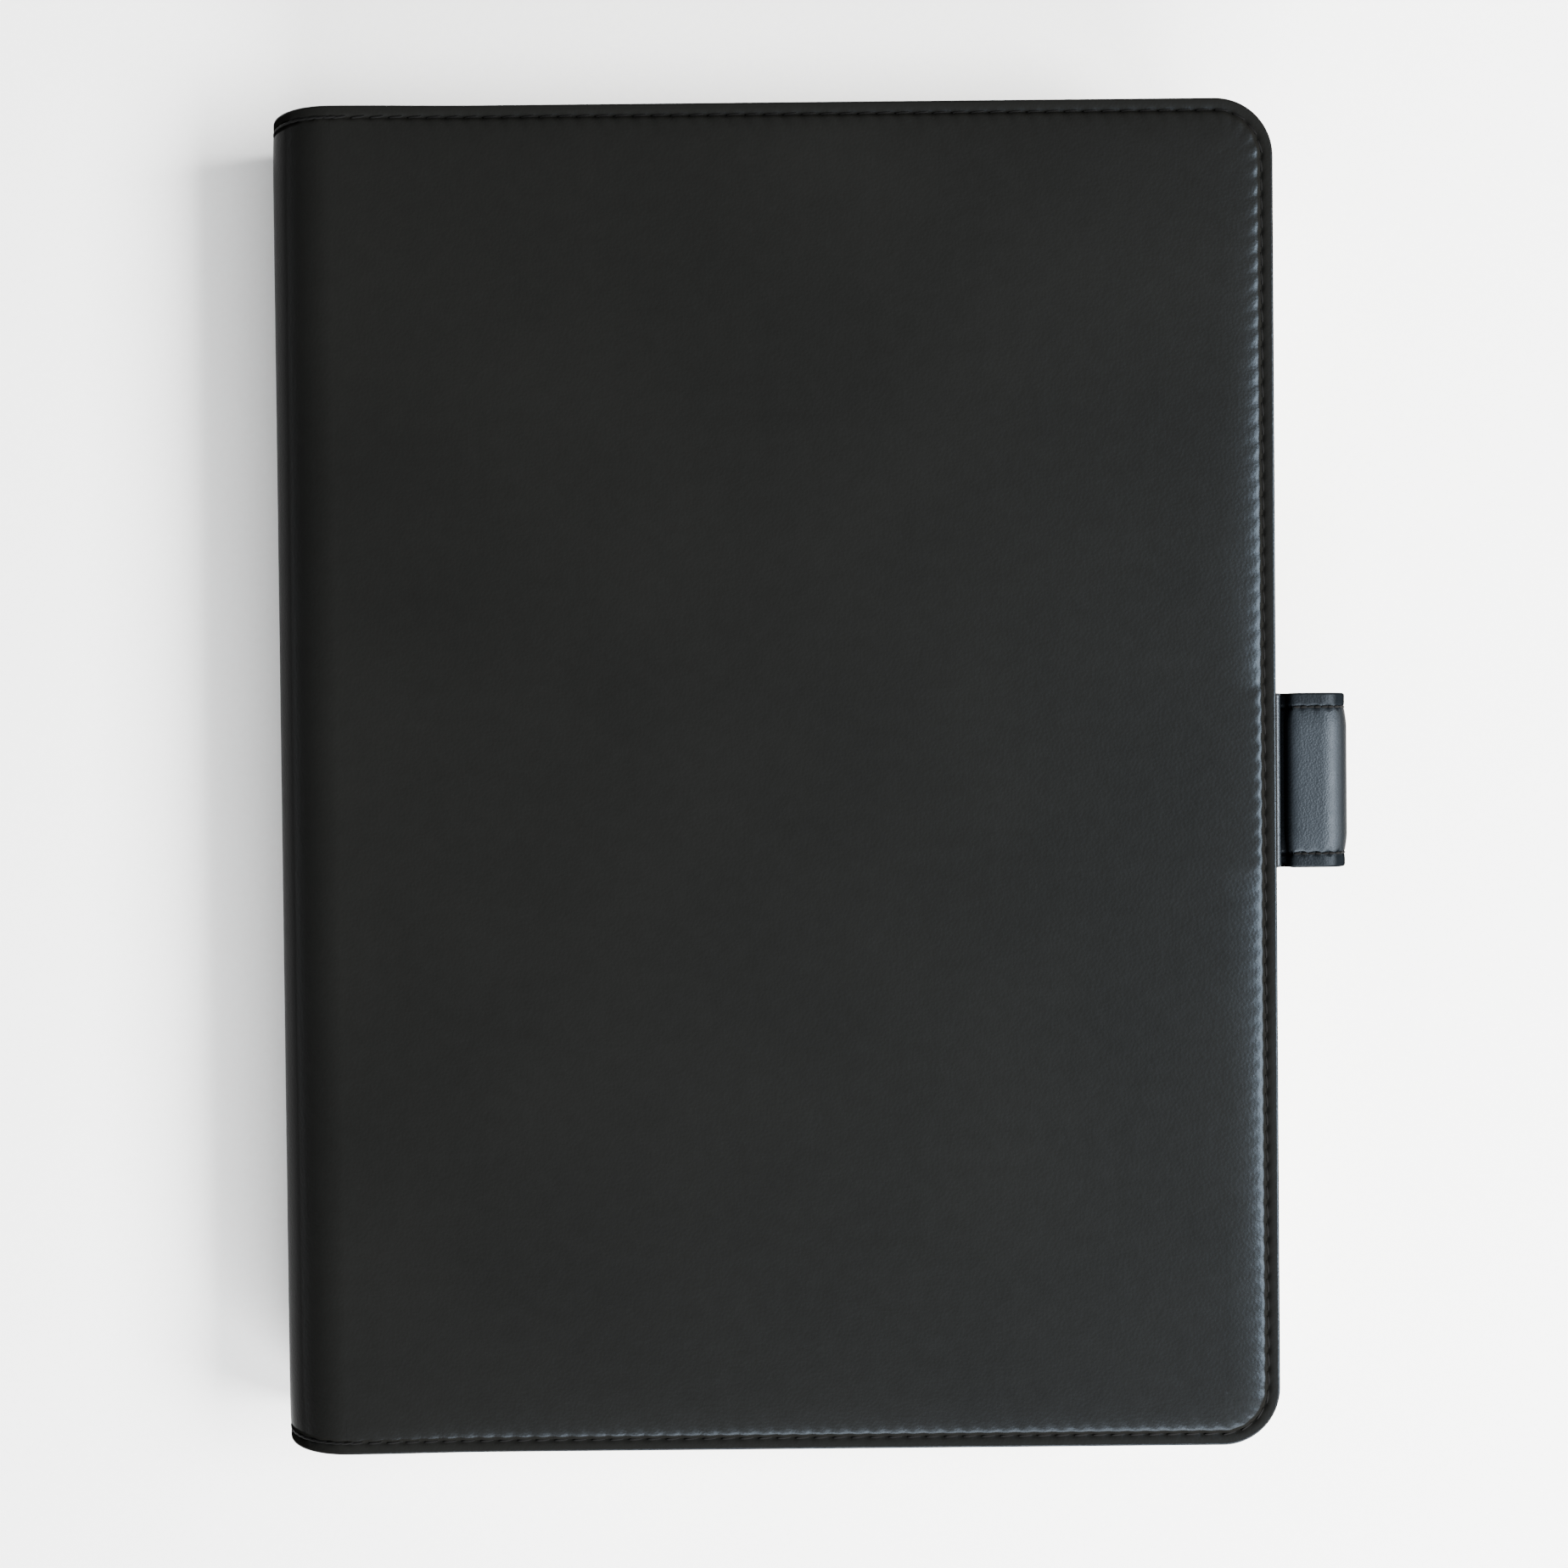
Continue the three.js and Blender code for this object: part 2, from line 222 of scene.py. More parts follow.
def wovenCloth(name, colour, threadPitch, depth, roughness):
    # plain-woven cloth: crossing threads, drawn coarser than real ones so that they show
    material, tree, shader = newMaterial(name)
    place = addNode(tree, "ShaderNodeUVMap", {"uv_map": "unrolled"}).outputs["UV"]
    turns = 1000 * math.pi / threadPitch
    scaled = addNode(tree, "ShaderNodeVectorMath", {"operation": "SCALE"}, {0: place, "Scale": turns})
    split = addNode(tree, "ShaderNodeSeparateXYZ", None, {0: scaled.outputs[0]})
    across = addNode(tree, "ShaderNodeMath", {"operation": "SINE"}, {0: split.outputs[0]})
    along = addNode(tree, "ShaderNodeMath", {"operation": "SINE"}, {0: split.outputs[1]})
    cross = addNode(tree, "ShaderNodeMath", {"operation": "MULTIPLY"},
                    {0: across.outputs[0], 1: along.outputs[0]})
    lift = addNode(tree, "ShaderNodeMath", {"operation": "MULTIPLY_ADD"},
                   {0: cross.outputs[0], 1: 0.5, 2: 0.5})
    fuzz = addNode(tree, "ShaderNodeTexNoise", None,
                   {"Vector": place, "Scale": 1000 / threadPitch * 0.4, "Detail": 2.0})
    height = addNode(tree, "ShaderNodeMath", {"operation": "MULTIPLY_ADD"},
                     {0: fuzz.outputs["Fac"], 1: 0.6, 2: lift.outputs[0]})
    bump = addNode(tree, "ShaderNodeBump", None,
                   {"Height": height.outputs[0], "Distance": depth * mm, "Strength": 1.0})
    dark = linearColour(colour)
    toned = addNode(tree, "ShaderNodeMath", {"operation": "MULTIPLY_ADD"},
                    {0: fuzz.outputs["Fac"], 1: 0.5, 2: lift.outputs[0]})
    mix = addNode(tree, "ShaderNodeMix", {"data_type": "RGBA", "clamp_factor": True},
                  {"Factor": toned.outputs[0], 6: dark, 7: tinted(dark, 1.55)})
    tree.links.new(mix.outputs[2], shader.inputs["Base Color"])
    tree.links.new(bump.outputs[0], shader.inputs["Normal"])
    shader.inputs["Roughness"].default_value = roughness
    shader.inputs["IOR"].default_value = 1.3
    return material


def speckled(name, colour, spotSize, contrast, roughness, depth, index=1.45):
    # paper, board, foam and thread: fibres or cells too small to see singly, drawn as fine speckle
    material, tree, shader = newMaterial(name)
    place = addNode(tree, "ShaderNodeTexCoord").outputs["Object"]
    fibres = addNode(tree, "ShaderNodeTexNoise", None,
                     {"Vector": place, "Scale": 1000 / spotSize, "Detail": 4.0, "Roughness": 0.65})
    cloud = addNode(tree, "ShaderNodeTexNoise", None,
                    {"Vector": place, "Scale": 60.0, "Detail": 2.0})
    both = addNode(tree, "ShaderNodeMath", {"operation": "MULTIPLY_ADD"},
                   {0: cloud.outputs["Fac"], 1: 0.5, 2: fibres.outputs["Fac"]})
    share = addNode(tree, "ShaderNodeMapRange", None,
                    {"Value": both.outputs[0], "From Min": 0.5, "From Max": 1.0})
    base = linearColour(colour)
    mix = addNode(tree, "ShaderNodeMix", {"data_type": "RGBA"},
                  {"Factor": share.outputs[0], 6: tinted(base, 1 - contrast), 7: tinted(base, 1 + contrast)})
    bump = addNode(tree, "ShaderNodeBump", None,
                   {"Height": fibres.outputs["Fac"], "Distance": depth * mm, "Strength": 1.0})
    tree.links.new(mix.outputs[2], shader.inputs["Base Color"])
    tree.links.new(bump.outputs[0], shader.inputs["Normal"])
    shader.inputs["Roughness"].default_value = roughness
    shader.inputs["IOR"].default_value = index
    return material, mix


def ruledPaper(name, colour, ruleColour, rule):
    # uncoated cream paper printed with pale feint rules
    material, toned = speckled(name, colour, 0.35, 0.03, 0.85, 0.01)
    tree = material.node_tree
    shader = tree.nodes["Principled BSDF"]
    place = addNode(tree, "ShaderNodeTexCoord").outputs["Object"]
    split = addNode(tree, "ShaderNodeSeparateXYZ", None, {0: place})
    step = addNode(tree, "ShaderNodeMath", {"operation": "MODULO"},
                   {0: addNode(tree, "ShaderNodeMath", {"operation": "ADD"},
                               {0: split.outputs[1], 1: 1.0}).outputs[0],
                    1: rule["pitch"] * mm})
    onLine = addNode(tree, "ShaderNodeMath", {"operation": "LESS_THAN"},
                     {0: step.outputs[0], 1: rule["width"] * mm})
    size = addNode(tree, "ShaderNodeMath", {"operation": "ABSOLUTE"}, {0: split.outputs[1]})
    inside = addNode(tree, "ShaderNodeMath", {"operation": "LESS_THAN"},
                     {0: size.outputs[0], 1: rule["reach"] * mm})
    both = addNode(tree, "ShaderNodeMath", {"operation": "MULTIPLY"},
                   {0: onLine.outputs[0], 1: inside.outputs[0]})
    inked = addNode(tree, "ShaderNodeMix", {"data_type": "RGBA"},
                    {"Factor": both.outputs[0], 6: toned.outputs[2], 7: linearColour(ruleColour)})
    tree.links.new(inked.outputs[2], shader.inputs["Base Color"])
    return material


# cowhide, dyed through and thinly finished: deep black with a soft, cool gleam; its dulled hem and seam side
# are painted a touch lighter, to keep their brightness once their gloss is cut
coverLeather = grainedLeather("blackTopGrainLeather", "0D0D0C", 0.32, 0.5, 0.02, index=1.185, haze=0.03,
                              glossTint="C2DDF8", shadeTone=1.1)
# waxed strap leather: the same black hide, painted lighter and bluish for the sheen on its bend (painted
# reflection), with painted shade in its creases and on its sides seen edge-on
loopLeatherPaintedLight = grainedLeather("strapLeatherPaintedLight", "111417", 0.46, 0.32, 0.04, index=1.25, haze=0.08,
                             glossTint="D0E0F0", polish=0.1, sideShade=0.75)
# split leather with a printed grain: dull, and a little coarser
innerLeather = grainedLeather("blackSplitLeather", "111112", 0.48, 0.6, 0.04, index=1.28)
# the same hide, cut across and painted: plain and dull
plainLeather = grainedLeather("blackEdgeLeather", "0D0E0F", 0.5, 0.5, 0.03, coordinates="object")
# polyester lining: matt, dark grey
liningCloth = wovenCloth("charcoalPolyesterLining", "131416", 0.55, 0.06, 0.85)
# waxed, twisted thread: no gleam to speak of
threadBlack = speckled("waxedPolyesterThread", "0A0A0A", 0.18, 0.35, 0.7, 0.02, index=1.12)[0]
# closed-cell foam sheet: fine pits, no gloss
foamSheet = speckled("closedCellFoam", "3A3B3C", 0.5, 0.25, 0.95, 0.08)[0]
# board pulped from mixed paper: grey, with darker fibres
greyBoard = speckled("greyBoard", "8F8C85", 0.5, 0.18, 0.9, 0.04)[0]
# coated cover card: smooth, dark blue-grey
cardStock = speckled("coverCard", "2B3038", 0.4, 0.14, 0.62, 0.03)[0]
# starched cotton for book spines: a close, dull weave
spineCloth = wovenCloth("bookbindersCloth", "20242B", 0.5, 0.05, 0.85)
# uncoated writing paper: its printed faces, and its cut edges a little darker
paperRule = {"pitch": 7.0, "width": 0.28, "reach": 92.0}
paperFace = ruledPaper("ruledCreamPaper", "F1ECDD", "B9C3CB", paperRule)
paperEdge = speckled("cutPaperEdge", "E6DFCD", 0.25, 0.08, 0.9, 0.02)[0]
print("materials made")


# the sewn leather skin

skin = {
    "thickness": 1.1,
    "seamInset": 2.0,
    "stitchPitch": 3.05,
    "stitchesPerFold": 4,
    "samplesPerStitch": 7,
    "edgeDrop": 0.8,  # the hem lies this far below the padded face
    "seamDrop": 0.92,
    "grooveDepth": 0.06,
    "grooveWidth": 0.3,
    "puffReach": 10.0,  # from the seam to where the padded face is flat
    "rollDrop": 0.36,  # the last steep part of the padding, beside the seam
    "rollReach": 0.5,
    "rollPull": 0.8,  # how much farther each needle hole pulls it in
    "holeDepth": 0.2,
    "holeLean": 0.15,  # stitches lean, and so do the puckers between them
    "swell": 0.16,
    "tabReach": 14.0,  # half the length over which the sewn-in tab holds the padding down
    "tabTight": 0.85,
    "endTight": 0.45,
    "headTight": 0.5,  # on the fore-edge, towards the head
    "headRise": (60, 100),
    "hemDull": 0.3,
    "sideDull": 0.85,
    "spinePadding": 0.2,  # the spine has no foam, so its ends stay nearly straight
    "paddingLength": 24.0,
    "panelRoll": 0.42,
    "spineRoll": 0.42,
    "innerRoll": 0.65,
    "panelEdge": 3.1,  # folded edge, with what it wraps
    "spineEdge": 1.8,
    "turnInWidth": 9.0,
    "turnInStart": 4.3,
    "turnInEdge": 0.5,  # thickness of the pared end
    "spineTurnIn": 1.3,
    "spineTurnInStart": 1.25,
    "spineTurnInEdge": 0.35,
    "blendLength": 3.3,
}

ringPlaces = [9.0, 8.2, 7.4, 6.7, 6.1, 5.5, 5.0, 4.5, 4.1, 3.75, 3.45, 3.2, 3.0, 2.84, 2.7, 2.57, 2.45,
              2.34, 2.23, 2.12, 2.0, 1.89, 1.78, 1.66, 1.5, 1.3, 1.05, 0.8, 0.6, 0.48]
ringInset = ringPlaces[0]


def paddingAt(x):
    # how much of the padding's fullness there is, from the spine towards the panels
    share = smoothStep(foldX, foldX + skin["paddingLength"], x)
    return skin["spinePadding"] + (1 - skin["spinePadding"]) * share


def tightAt(y, nx, ny, isFront):
    # where the padding is held down close to the seam: beside the pen loop's tab, at the head and the tail
    away = abs(y - (tabLow[1] + tabHigh[1]) / 2)
    beside = smoothStep(skin["tabReach"] + 3, skin["tabReach"] - 1, away) if isFront else 0
    foreTight = skin["tabTight"] * beside + skin["headTight"] * smoothStep(*skin["headRise"], y)
    return nx * nx * foreTight + ny * ny * skin["endTight"]


def dullAt(inset):
    # how dull the pressed hem is, and the steep side of the padding beside the seam; on the cover the same
    # share also paints them a touch lighter
    hem = skin["hemDull"] * smoothStep(0, 0.5, inset)
    side = skin["sideDull"] * smoothStep(skin["seamInset"] - 0.3, skin["seamInset"], inset)
    return max(hem, side) * smoothStep(skin["seamInset"] + 0.95, skin["seamInset"] + 0.45, inset)


def faceDrop(inset, phase, padding, swell=1.0, tight=0.0):
    # how far the leather's face lies below its highest level, at a distance from its edge
    away = inset - skin["seamInset"]
    hole = (0.5 + 0.5 * math.cos(2 * math.pi * (phase + skin["holeLean"] * away))) ** 1.5
    if away >= 0:
        share = min(away / skin["puffReach"], 1)
        steep = skin["rollDrop"] + tight * (skin["seamDrop"] - skin["rollDrop"] - 0.1)
        drop = (skin["seamDrop"] - steep) * (1 - share) ** (3 * swell)
        reach = skin["rollReach"] * (1 - 0.4 * tight) * (1 + skin["rollPull"] * hole)
        drop += steep * math.exp(-away / reach)
    else:
        share = smoothStep(0.9, skin["seamInset"], inset)
        drop = skin["edgeDrop"] + (skin["seamDrop"] - skin["edgeDrop"]) * share
    drop = drop * padding + skin["grooveDepth"] * math.exp(-(away / skin["grooveWidth"]) ** 2)
    return drop + skin["holeDepth"] * hole * math.exp(-(away / 0.4) ** 2)


def sectionAt(share, phase, padding, swell=1.0, tight=0.0):
    # one section of the skin's edge from the face, round the rim and under, as (inset, drop, wrap);
    # share is 0 at the spine and 1 on a panel, and wrap is the length from the rim along the leather
    def between(onSpine, onPanel):
        return skin[onSpine] + (skin[onPanel] - skin[onSpine]) * share

    roll = between("spineRoll", "panelRoll")
    under = between("spineRoll", "innerRoll")
    deep = between("spineEdge", "panelEdge")
    end = between("spineTurnIn", "turnInWidth")
    inner = between("spineTurnInStart", "turnInStart")
    flap = between("spineTurnInEdge", "turnInEdge")
    section = [(inset, faceDrop(inset, phase, padding, swell, tight), -inset) for inset in ringPlaces]
    rimDrop = faceDrop(roll, phase, padding)
    for i in range(1, 7):
        angle = math.radians(15 * i)
        section.append((roll - roll * math.sin(angle), rimDrop + roll - roll * math.cos(angle),
                        -roll + roll * angle))
    length = 0.57 * roll  # a quarter turn, less its radius
    wall = deep - under
    section.append((0, (rimDrop + roll + wall) / 2, length + (wall - rimDrop - roll) / 2))
    for i in range(0, 6):
        angle = math.radians(18 * i)
        section.append((under - under * math.cos(angle), wall + under * math.sin(angle),
                        length + wall - rimDrop - roll + under * angle))
    last = section[-1][2]
    section.append((end * 0.5 + under * 0.5, deep, last + end * 0.5))
    section.append((end, deep, last + end))
    section.append((end, deep - flap, last + end + 0.5))
    section.append((inner, deep - flap, last + end + 1))
    section.append((inner, skin["thickness"], last + end + 2))
    return section


def panelOutline():
    # the panel's edge from the spine along the tail, up the fore-edge and back along the head, as
    # (x, y, outward x, outward y, stitches so far), and the exact pitch of its stitches
    places = []
    pitch = skin["stitchPitch"]
    inset = skin["seamInset"]
    straight = foreEdge - cornerRadius - foldX
    side = 2 * (halfHeight - cornerRadius)
    arc = math.pi / 2 * (cornerRadius - inset)
    total = 2 * straight + 2 * arc + side
    stitches = round(total / pitch)
    step = total / (stitches * skin["samplesPerStitch"])
    lengths = [0, 0.02] + [step * i for i in range(1, stitches * skin["samplesPerStitch"])]
    lengths += [total - 0.02, total]
    for run in lengths:
        phase = run / total * stitches
        if run <= straight:
            spot = (foldX + run, -halfHeight, 0, -1)
        elif run < straight + arc:
            angle = -math.pi / 2 + (run - straight) / arc * math.pi / 2
            spot = (foreEdge - cornerRadius + cornerRadius * math.cos(angle),
                    -halfHeight + cornerRadius + cornerRadius * math.sin(angle),
                    math.cos(angle), math.sin(angle))
        elif run <= straight + arc + side:
            spot = (foreEdge, -halfHeight + cornerRadius + run - straight - arc, 1, 0)
        elif run < straight + 2 * arc + side:
            angle = (run - straight - arc - side) / arc * math.pi / 2
            spot = (foreEdge - cornerRadius + cornerRadius * math.cos(angle),
                    halfHeight - cornerRadius + cornerRadius * math.sin(angle),
                    math.cos(angle), math.sin(angle))
        else:
            spot = (foldX + total - run, halfHeight, 0, 1)
        places.append((*spot, phase))
    return places, total / stitches


def coverSkin(name, isFront):
    outline = panelOutline()[0]
    points, uv, worn, dull, faces = [], [], [], [], []

    def place(x, y, drop):
        # a soft unevenness of the padding, gone at the edges
        inside = smoothStep(0, 40, min(foreEdge - x, x - foldX, halfHeight - abs(y)))
        wave = math.sin(x * 0.045 + 1.1) * math.sin(y * 0.037 + 0.6) + 0.5 * math.sin(x * 0.021 - y * 0.05)
        uneven = inside * 0.05 * (1.2 - wave) if isFront else 0
        return x, y, panelLevel(drop + uneven, isFront)

    def unroll(x, y):
        return (2 * foldX - spineRadius * math.pi - x, y) if isFront else (x, y)

    rows = 0
    for x, y, nx, ny, phase in outline:
        share = smoothStep(foldX, foldX + skin["blendLength"], x)
        drift = (math.sin(phase * 0.31 + 0.4) + math.sin(phase * 0.83 + 2.1) * 0.7
                 + math.sin(phase * 1.9) * 0.4)
        swell = 1 + skin["swell"] * drift * smoothStep(foldX + 2, foldX + 30, x)
        section = sectionAt(share, phase, paddingAt(x), swell, tightAt(y, nx, ny, isFront))
        rows = len(section)
        for inset, drop, wrap in section:
            points.append(place(x - nx * inset, y - ny * inset, drop))
            uv.append(unroll(x + nx * wrap, y + ny * wrap))
            worn.append(1.0 if inset < 0.5 else 0.0)
            dull.append(dullAt(inset))
    count = len(outline)
    for k in range(count - 1):
        for i in range(rows - 1):
            a = k * rows + i
            faces.append((a, a + 1, a + rows + 1, a + rows))
    # the face inside the last ring
    loop = [k * rows for k in range(count)]
    spineSide = spread(halfHeight - ringInset, ringInset - halfHeight, 2.5)[1:-1]
    flat = [Vector((points[i][0], points[i][1])) for i in loop]
    flat += [Vector((foldX, y)) for y in spineSide]
    border = len(flat)
    spacing = 2.6
    x = foldX + spacing
    while x < foreEdge - ringInset - spacing * 0.5:
        y = -halfHeight + ringInset + spacing
        while y < halfHeight - ringInset - spacing * 0.5:
            flat.append(Vector((x, y)))
            y += spacing
        x += spacing
    edges = [(i, (i + 1) % border) for i in range(border)]
    found = delaunay_2d_cdt(flat, edges, [], 1, 1e-5)
    index = []
    for i, spot in enumerate(found[0]):
        source = found[3][i]
        if source and source[0] < len(loop):
            index.append(loop[source[0]])
        else:
            inset = min(foreEdge - spot.x, halfHeight - abs(spot.y))
            points.append(place(spot.x, spot.y, faceDrop(inset, 0.5, paddingAt(spot.x))))
            uv.append(unroll(spot.x, spot.y))
            worn.append(0.0)
            dull.append(0.0)
            index.append(len(points) - 1)
    for triangle in found[2]:
        faces.append(tuple(index[i] for i in triangle))
    # the hidden back of the leather, and its cut end inside the spine's first fold
    faces.append(tuple(k * rows + rows - 1 for k in range(count)))
    onSpine = sorted((i for i in index if abs(points[i][0] - foldX) < 1e-4 and i not in (loop[0], loop[-1])),
                     key=lambda i: -points[i][1])
    end = [(count - 1) * rows + i for i in range(rows - 1, -1, -1)]
    faces.append(tuple(end + onSpine + list(range(rows))))
    piece = makePiece(name, points, faces, [coverLeather], uv, shares={"burnish": worn, "crease": dull})
    return faceOutwards(piece)


def spineSection(phase):
    # the spine's section along its length, as (y, drop, wrap), all round
    padding = skin["spinePadding"]
    half = sectionAt(0, phase, padding)
    middle = spread(ringInset - halfHeight, halfHeight - ringInset, 6)[1:-1]
    tail = [(-halfHeight + inset, drop, -halfHeight - wrap) for inset, drop, wrap in reversed(half)]
    flat = [(y, faceDrop(halfHeight - abs(y), 0.5, padding), y) for y in middle]
    head = [(halfHeight - inset, drop, halfHeight + wrap) for inset, drop, wrap in half]
    return tail + flat + head


def spineSkin(name, fold):
    start = foldAngle * fold
    steps = skin["stitchesPerFold"] * skin["samplesPerStitch"]
    angles = [0, 0.08] + [foldAngle * i / steps for i in range(1, steps)] + [foldAngle - 0.08, foldAngle]
    points, uv, worn, dull, faces = [], [], [], [], []
    for turn in angles:
        phase = turn / foldAngle * skin["stitchesPerFold"]
        section = spineSection(phase)
        angle = math.radians(start + turn)
        for y, drop, wrap in section:
            radius = spineRadius - drop
            points.append((foldX - radius * math.sin(angle), y, middleZ - radius * math.cos(angle)))
            uv.append((foldX - spineRadius * angle, wrap))
            worn.append(1.0 if halfHeight - abs(y) < 0.5 else 0.0)
            dull.append(dullAt(halfHeight - abs(y)))
    rows = len(section)
    for k in range(len(angles) - 1):
        for i in range(rows):
            j = (i + 1) % rows
            faces.append((k * rows + i, k * rows + j, (k + 1) * rows + j, (k + 1) * rows + i))
    last = (len(angles) - 1) * rows
    faces.append(tuple(range(rows)))
    faces.append(tuple(range(last, last + rows)))
    return faceOutwards(makePiece(name, points, faces, [coverLeather], uv,
                                  shares={"burnish": worn, "crease": dull}))


def acrossFold(piece):
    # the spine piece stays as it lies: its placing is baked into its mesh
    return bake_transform(piece)


stitchPitch = panelOutline()[1]
for side in ("front", "back"):
    piece = coverSkin(side + "CoverLeather", side == "front")
    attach(piece, side + "_cover")
    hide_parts(side + "_leather")
for fold in range(foldCount):
    piece = spineSkin("spineLeather" + str(fold + 1), fold)
    acrossFold(piece)
    if fold < foldCount - 1:
        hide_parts("spine_leather_" + str(fold + 1))
print("leather skins made")


# stitches, by Geometry Nodes

seamThread = {"length": 2.3, "width": 0.42, "height": 0.26, "slant": 6.0, "seed": 4}


def stitchTree():
    tree = bpy.data.node_groups.new("sewnStitches", "GeometryNodeTree")
    face = tree.interface
    face.new_socket("Geometry", in_out="INPUT", socket_type="NodeSocketGeometry")
    for label in ("Pitch", "Length", "Width", "Height", "Slant"):
        face.new_socket(label, in_out="INPUT", socket_type="NodeSocketFloat")
    face.new_socket("Seed", in_out="INPUT", socket_type="NodeSocketInt")
    face.new_socket("Material", in_out="INPUT", socket_type="NodeSocketMaterial")
    face.new_socket("Geometry", in_out="OUTPUT", socket_type="NodeSocketGeometry")
    given = addNode(tree, "NodeGroupInput").outputs
    curve = addNode(tree, "GeometryNodeMeshToCurve", None, {0: given["Geometry"]})
    length = addNode(tree, "GeometryNodeCurveLength", None, {0: curve.outputs[0]})
    halfPitch = addNode(tree, "ShaderNodeMath", {"operation": "MULTIPLY"}, {0: given["Pitch"], 1: 0.5})
    stop = addNode(tree, "ShaderNodeMath", {"operation": "SUBTRACT"},
                   {0: length.outputs[0], 1: halfPitch.outputs[0]})
    trimmed = addNode(tree, "GeometryNodeTrimCurve", {"mode": "LENGTH"},
                      {0: curve.outputs[0], 4: halfPitch.outputs[0], 5: stop.outputs[0]})
    # a whole number of stitches, so that they end where the seam does
    share = addNode(tree, "ShaderNodeMath", {"operation": "DIVIDE"},
                    {0: length.outputs[0], 1: given["Pitch"]})
    whole = addNode(tree, "ShaderNodeMath", {"operation": "ROUND"}, {0: share.outputs[0]})
    points = addNode(tree, "GeometryNodeResampleCurve", None,
                     {"Curve": trimmed.outputs[0], "Count": whole.outputs[0]})
    tangent = addNode(tree, "GeometryNodeInputTangent")
    up = addNode(tree, "GeometryNodeInputNamedAttribute", {"data_type": "FLOAT_VECTOR"}, {"Name": "up"})
    aim = addNode(tree, "FunctionNodeAxesToRotation", {"primary_axis": "Z", "secondary_axis": "X"},
                  {0: up.outputs[0], 1: tangent.outputs[0]})
    wobble = addNode(tree, "FunctionNodeRandomValue", {"data_type": "FLOAT"},
                     {2: -1.5, 3: 1.5, "Seed": given["Seed"]})
    slant = addNode(tree, "ShaderNodeMath", {"operation": "ADD"},
                    {0: given["Slant"], 1: wobble.outputs[1]})
    radians = addNode(tree, "ShaderNodeMath", {"operation": "RADIANS"}, {0: slant.outputs[0]})
    turn = addNode(tree, "FunctionNodeAxisAngleToRotation", None,
                   {"Axis": (0, 0, 1), "Angle": radians.outputs[0]})
    turned = addNode(tree, "FunctionNodeRotateRotation", {"rotation_space": "LOCAL"},
                     {0: aim.outputs[0], 1: turn.outputs[0]})
    ball = addNode(tree, "GeometryNodeMeshUVSphere", None, {"Segments": 8, "Rings": 6, "Radius": 0.5})
    size = addNode(tree, "ShaderNodeCombineXYZ", None,
                   {0: given["Length"], 1: given["Width"], 2: given["Height"]})
    strand = addNode(tree, "GeometryNodeTransform", None,
                     {"Geometry": ball.outputs[0], "Rotation": (0, math.pi / 2, 0)})
    shaped = addNode(tree, "GeometryNodeTransform", None,
                     {"Geometry": strand.outputs[0], "Scale": size.outputs[0]})
    placed = addNode(tree, "GeometryNodeInstanceOnPoints", None,
                     {"Points": points.outputs[0], "Instance": shaped.outputs[0],
                      "Rotation": turned.outputs[0]})
    real = addNode(tree, "GeometryNodeRealizeInstances", None, {0: placed.outputs[0]})
    smooth = addNode(tree, "GeometryNodeSetShadeSmooth", None, {0: real.outputs[0]})
    dressed = addNode(tree, "GeometryNodeSetMaterial", None,
                      {0: smooth.outputs[0], "Material": given["Material"]})
    addNode(tree, "NodeGroupOutput", None, {0: dressed.outputs[0]})
    return tree


stitchNodes = stitchTree()


def runNodes(source, tree, values, name):
    # gives the tree its inputs, runs it on the source and keeps the result as a plain mesh
    modifier = source.modifiers.new("nodes", "NODES")
    modifier.node_group = tree
    for item in tree.interface.items_tree:
        if item.in_out == "INPUT" and item.name in values:
            modifier[item.identifier] = values[item.name]
    bpy.context.view_layer.update()
    graph = bpy.context.evaluated_depsgraph_get()
    mesh = bpy.data.meshes.new_from_object(source.evaluated_get(graph), depsgraph=graph)
    mesh.name = name
    bpy.data.objects.remove(source)
    piece = bpy.data.objects.new(name, mesh)
    bpy.context.scene.collection.objects.link(piece)
    return piece


def sewStitches(name, runs, thread, pitch, material):
    # runs are lists of (point, up), in millimetres; the result is one plain mesh
    vertices, ups, edges = [], [], []
    for run in runs:
        first = len(vertices)
        vertices += [[c * mm for c in point] for point, up in run]
        ups += [c for point, up in run for c in up]
        edges += [(i, i + 1) for i in range(first, len(vertices) - 1)]
    mesh = bpy.data.meshes.new(name + "Line")
    mesh.from_pydata(vertices, edges, [])
    attribute = mesh.attributes.new("up", "FLOAT_VECTOR", "POINT")
    attribute.data.foreach_set("vector", ups)
    line = bpy.data.objects.new(name + "Line", mesh)
    bpy.context.scene.collection.objects.link(line)
    values = {"Pitch": pitch * mm, "Length": thread["length"] * mm, "Width": thread["width"] * mm,
              "Height": thread["height"] * mm, "Slant": thread["slant"], "Seed": thread["seed"],
              "Material": material}
    return runNodes(line, stitchNodes, values, name)


def threadLevel(x):
    # how far the thread lies below the leather's highest level
    return faceDrop(skin["seamInset"], 0.5, paddingAt(x)) - 0.04


def seamRun(levelAt, up, start=foldX):
    # the seam's line round a panel, at the height that levelAt gives; up is 1, or -1 where stitches face down
    inset = skin["seamInset"]
    radius = cornerRadius - inset
    right = foreEdge - inset
    top = halfHeight - inset
    spots = [(x, -top) for x in spread(start, right - radius, 3)]
    spots += [(right - radius + radius * math.cos(a), -top + radius + radius * math.sin(a))
              for a in [math.radians(d) for d in range(-84, 0, 6)]]
    spots += [(right, y) for y in spread(-top + radius, top - radius, 3)]
    spots += [(right - radius + radius * math.cos(a), top - radius + radius * math.sin(a))
              for a in [math.radians(d) for d in range(6, 90, 6)]]
    spots += [(x, top) for x in spread(right - radius, start, 3)]
    return [((x, y, levelAt(x)), (0, 0, up)) for x, y in spots]


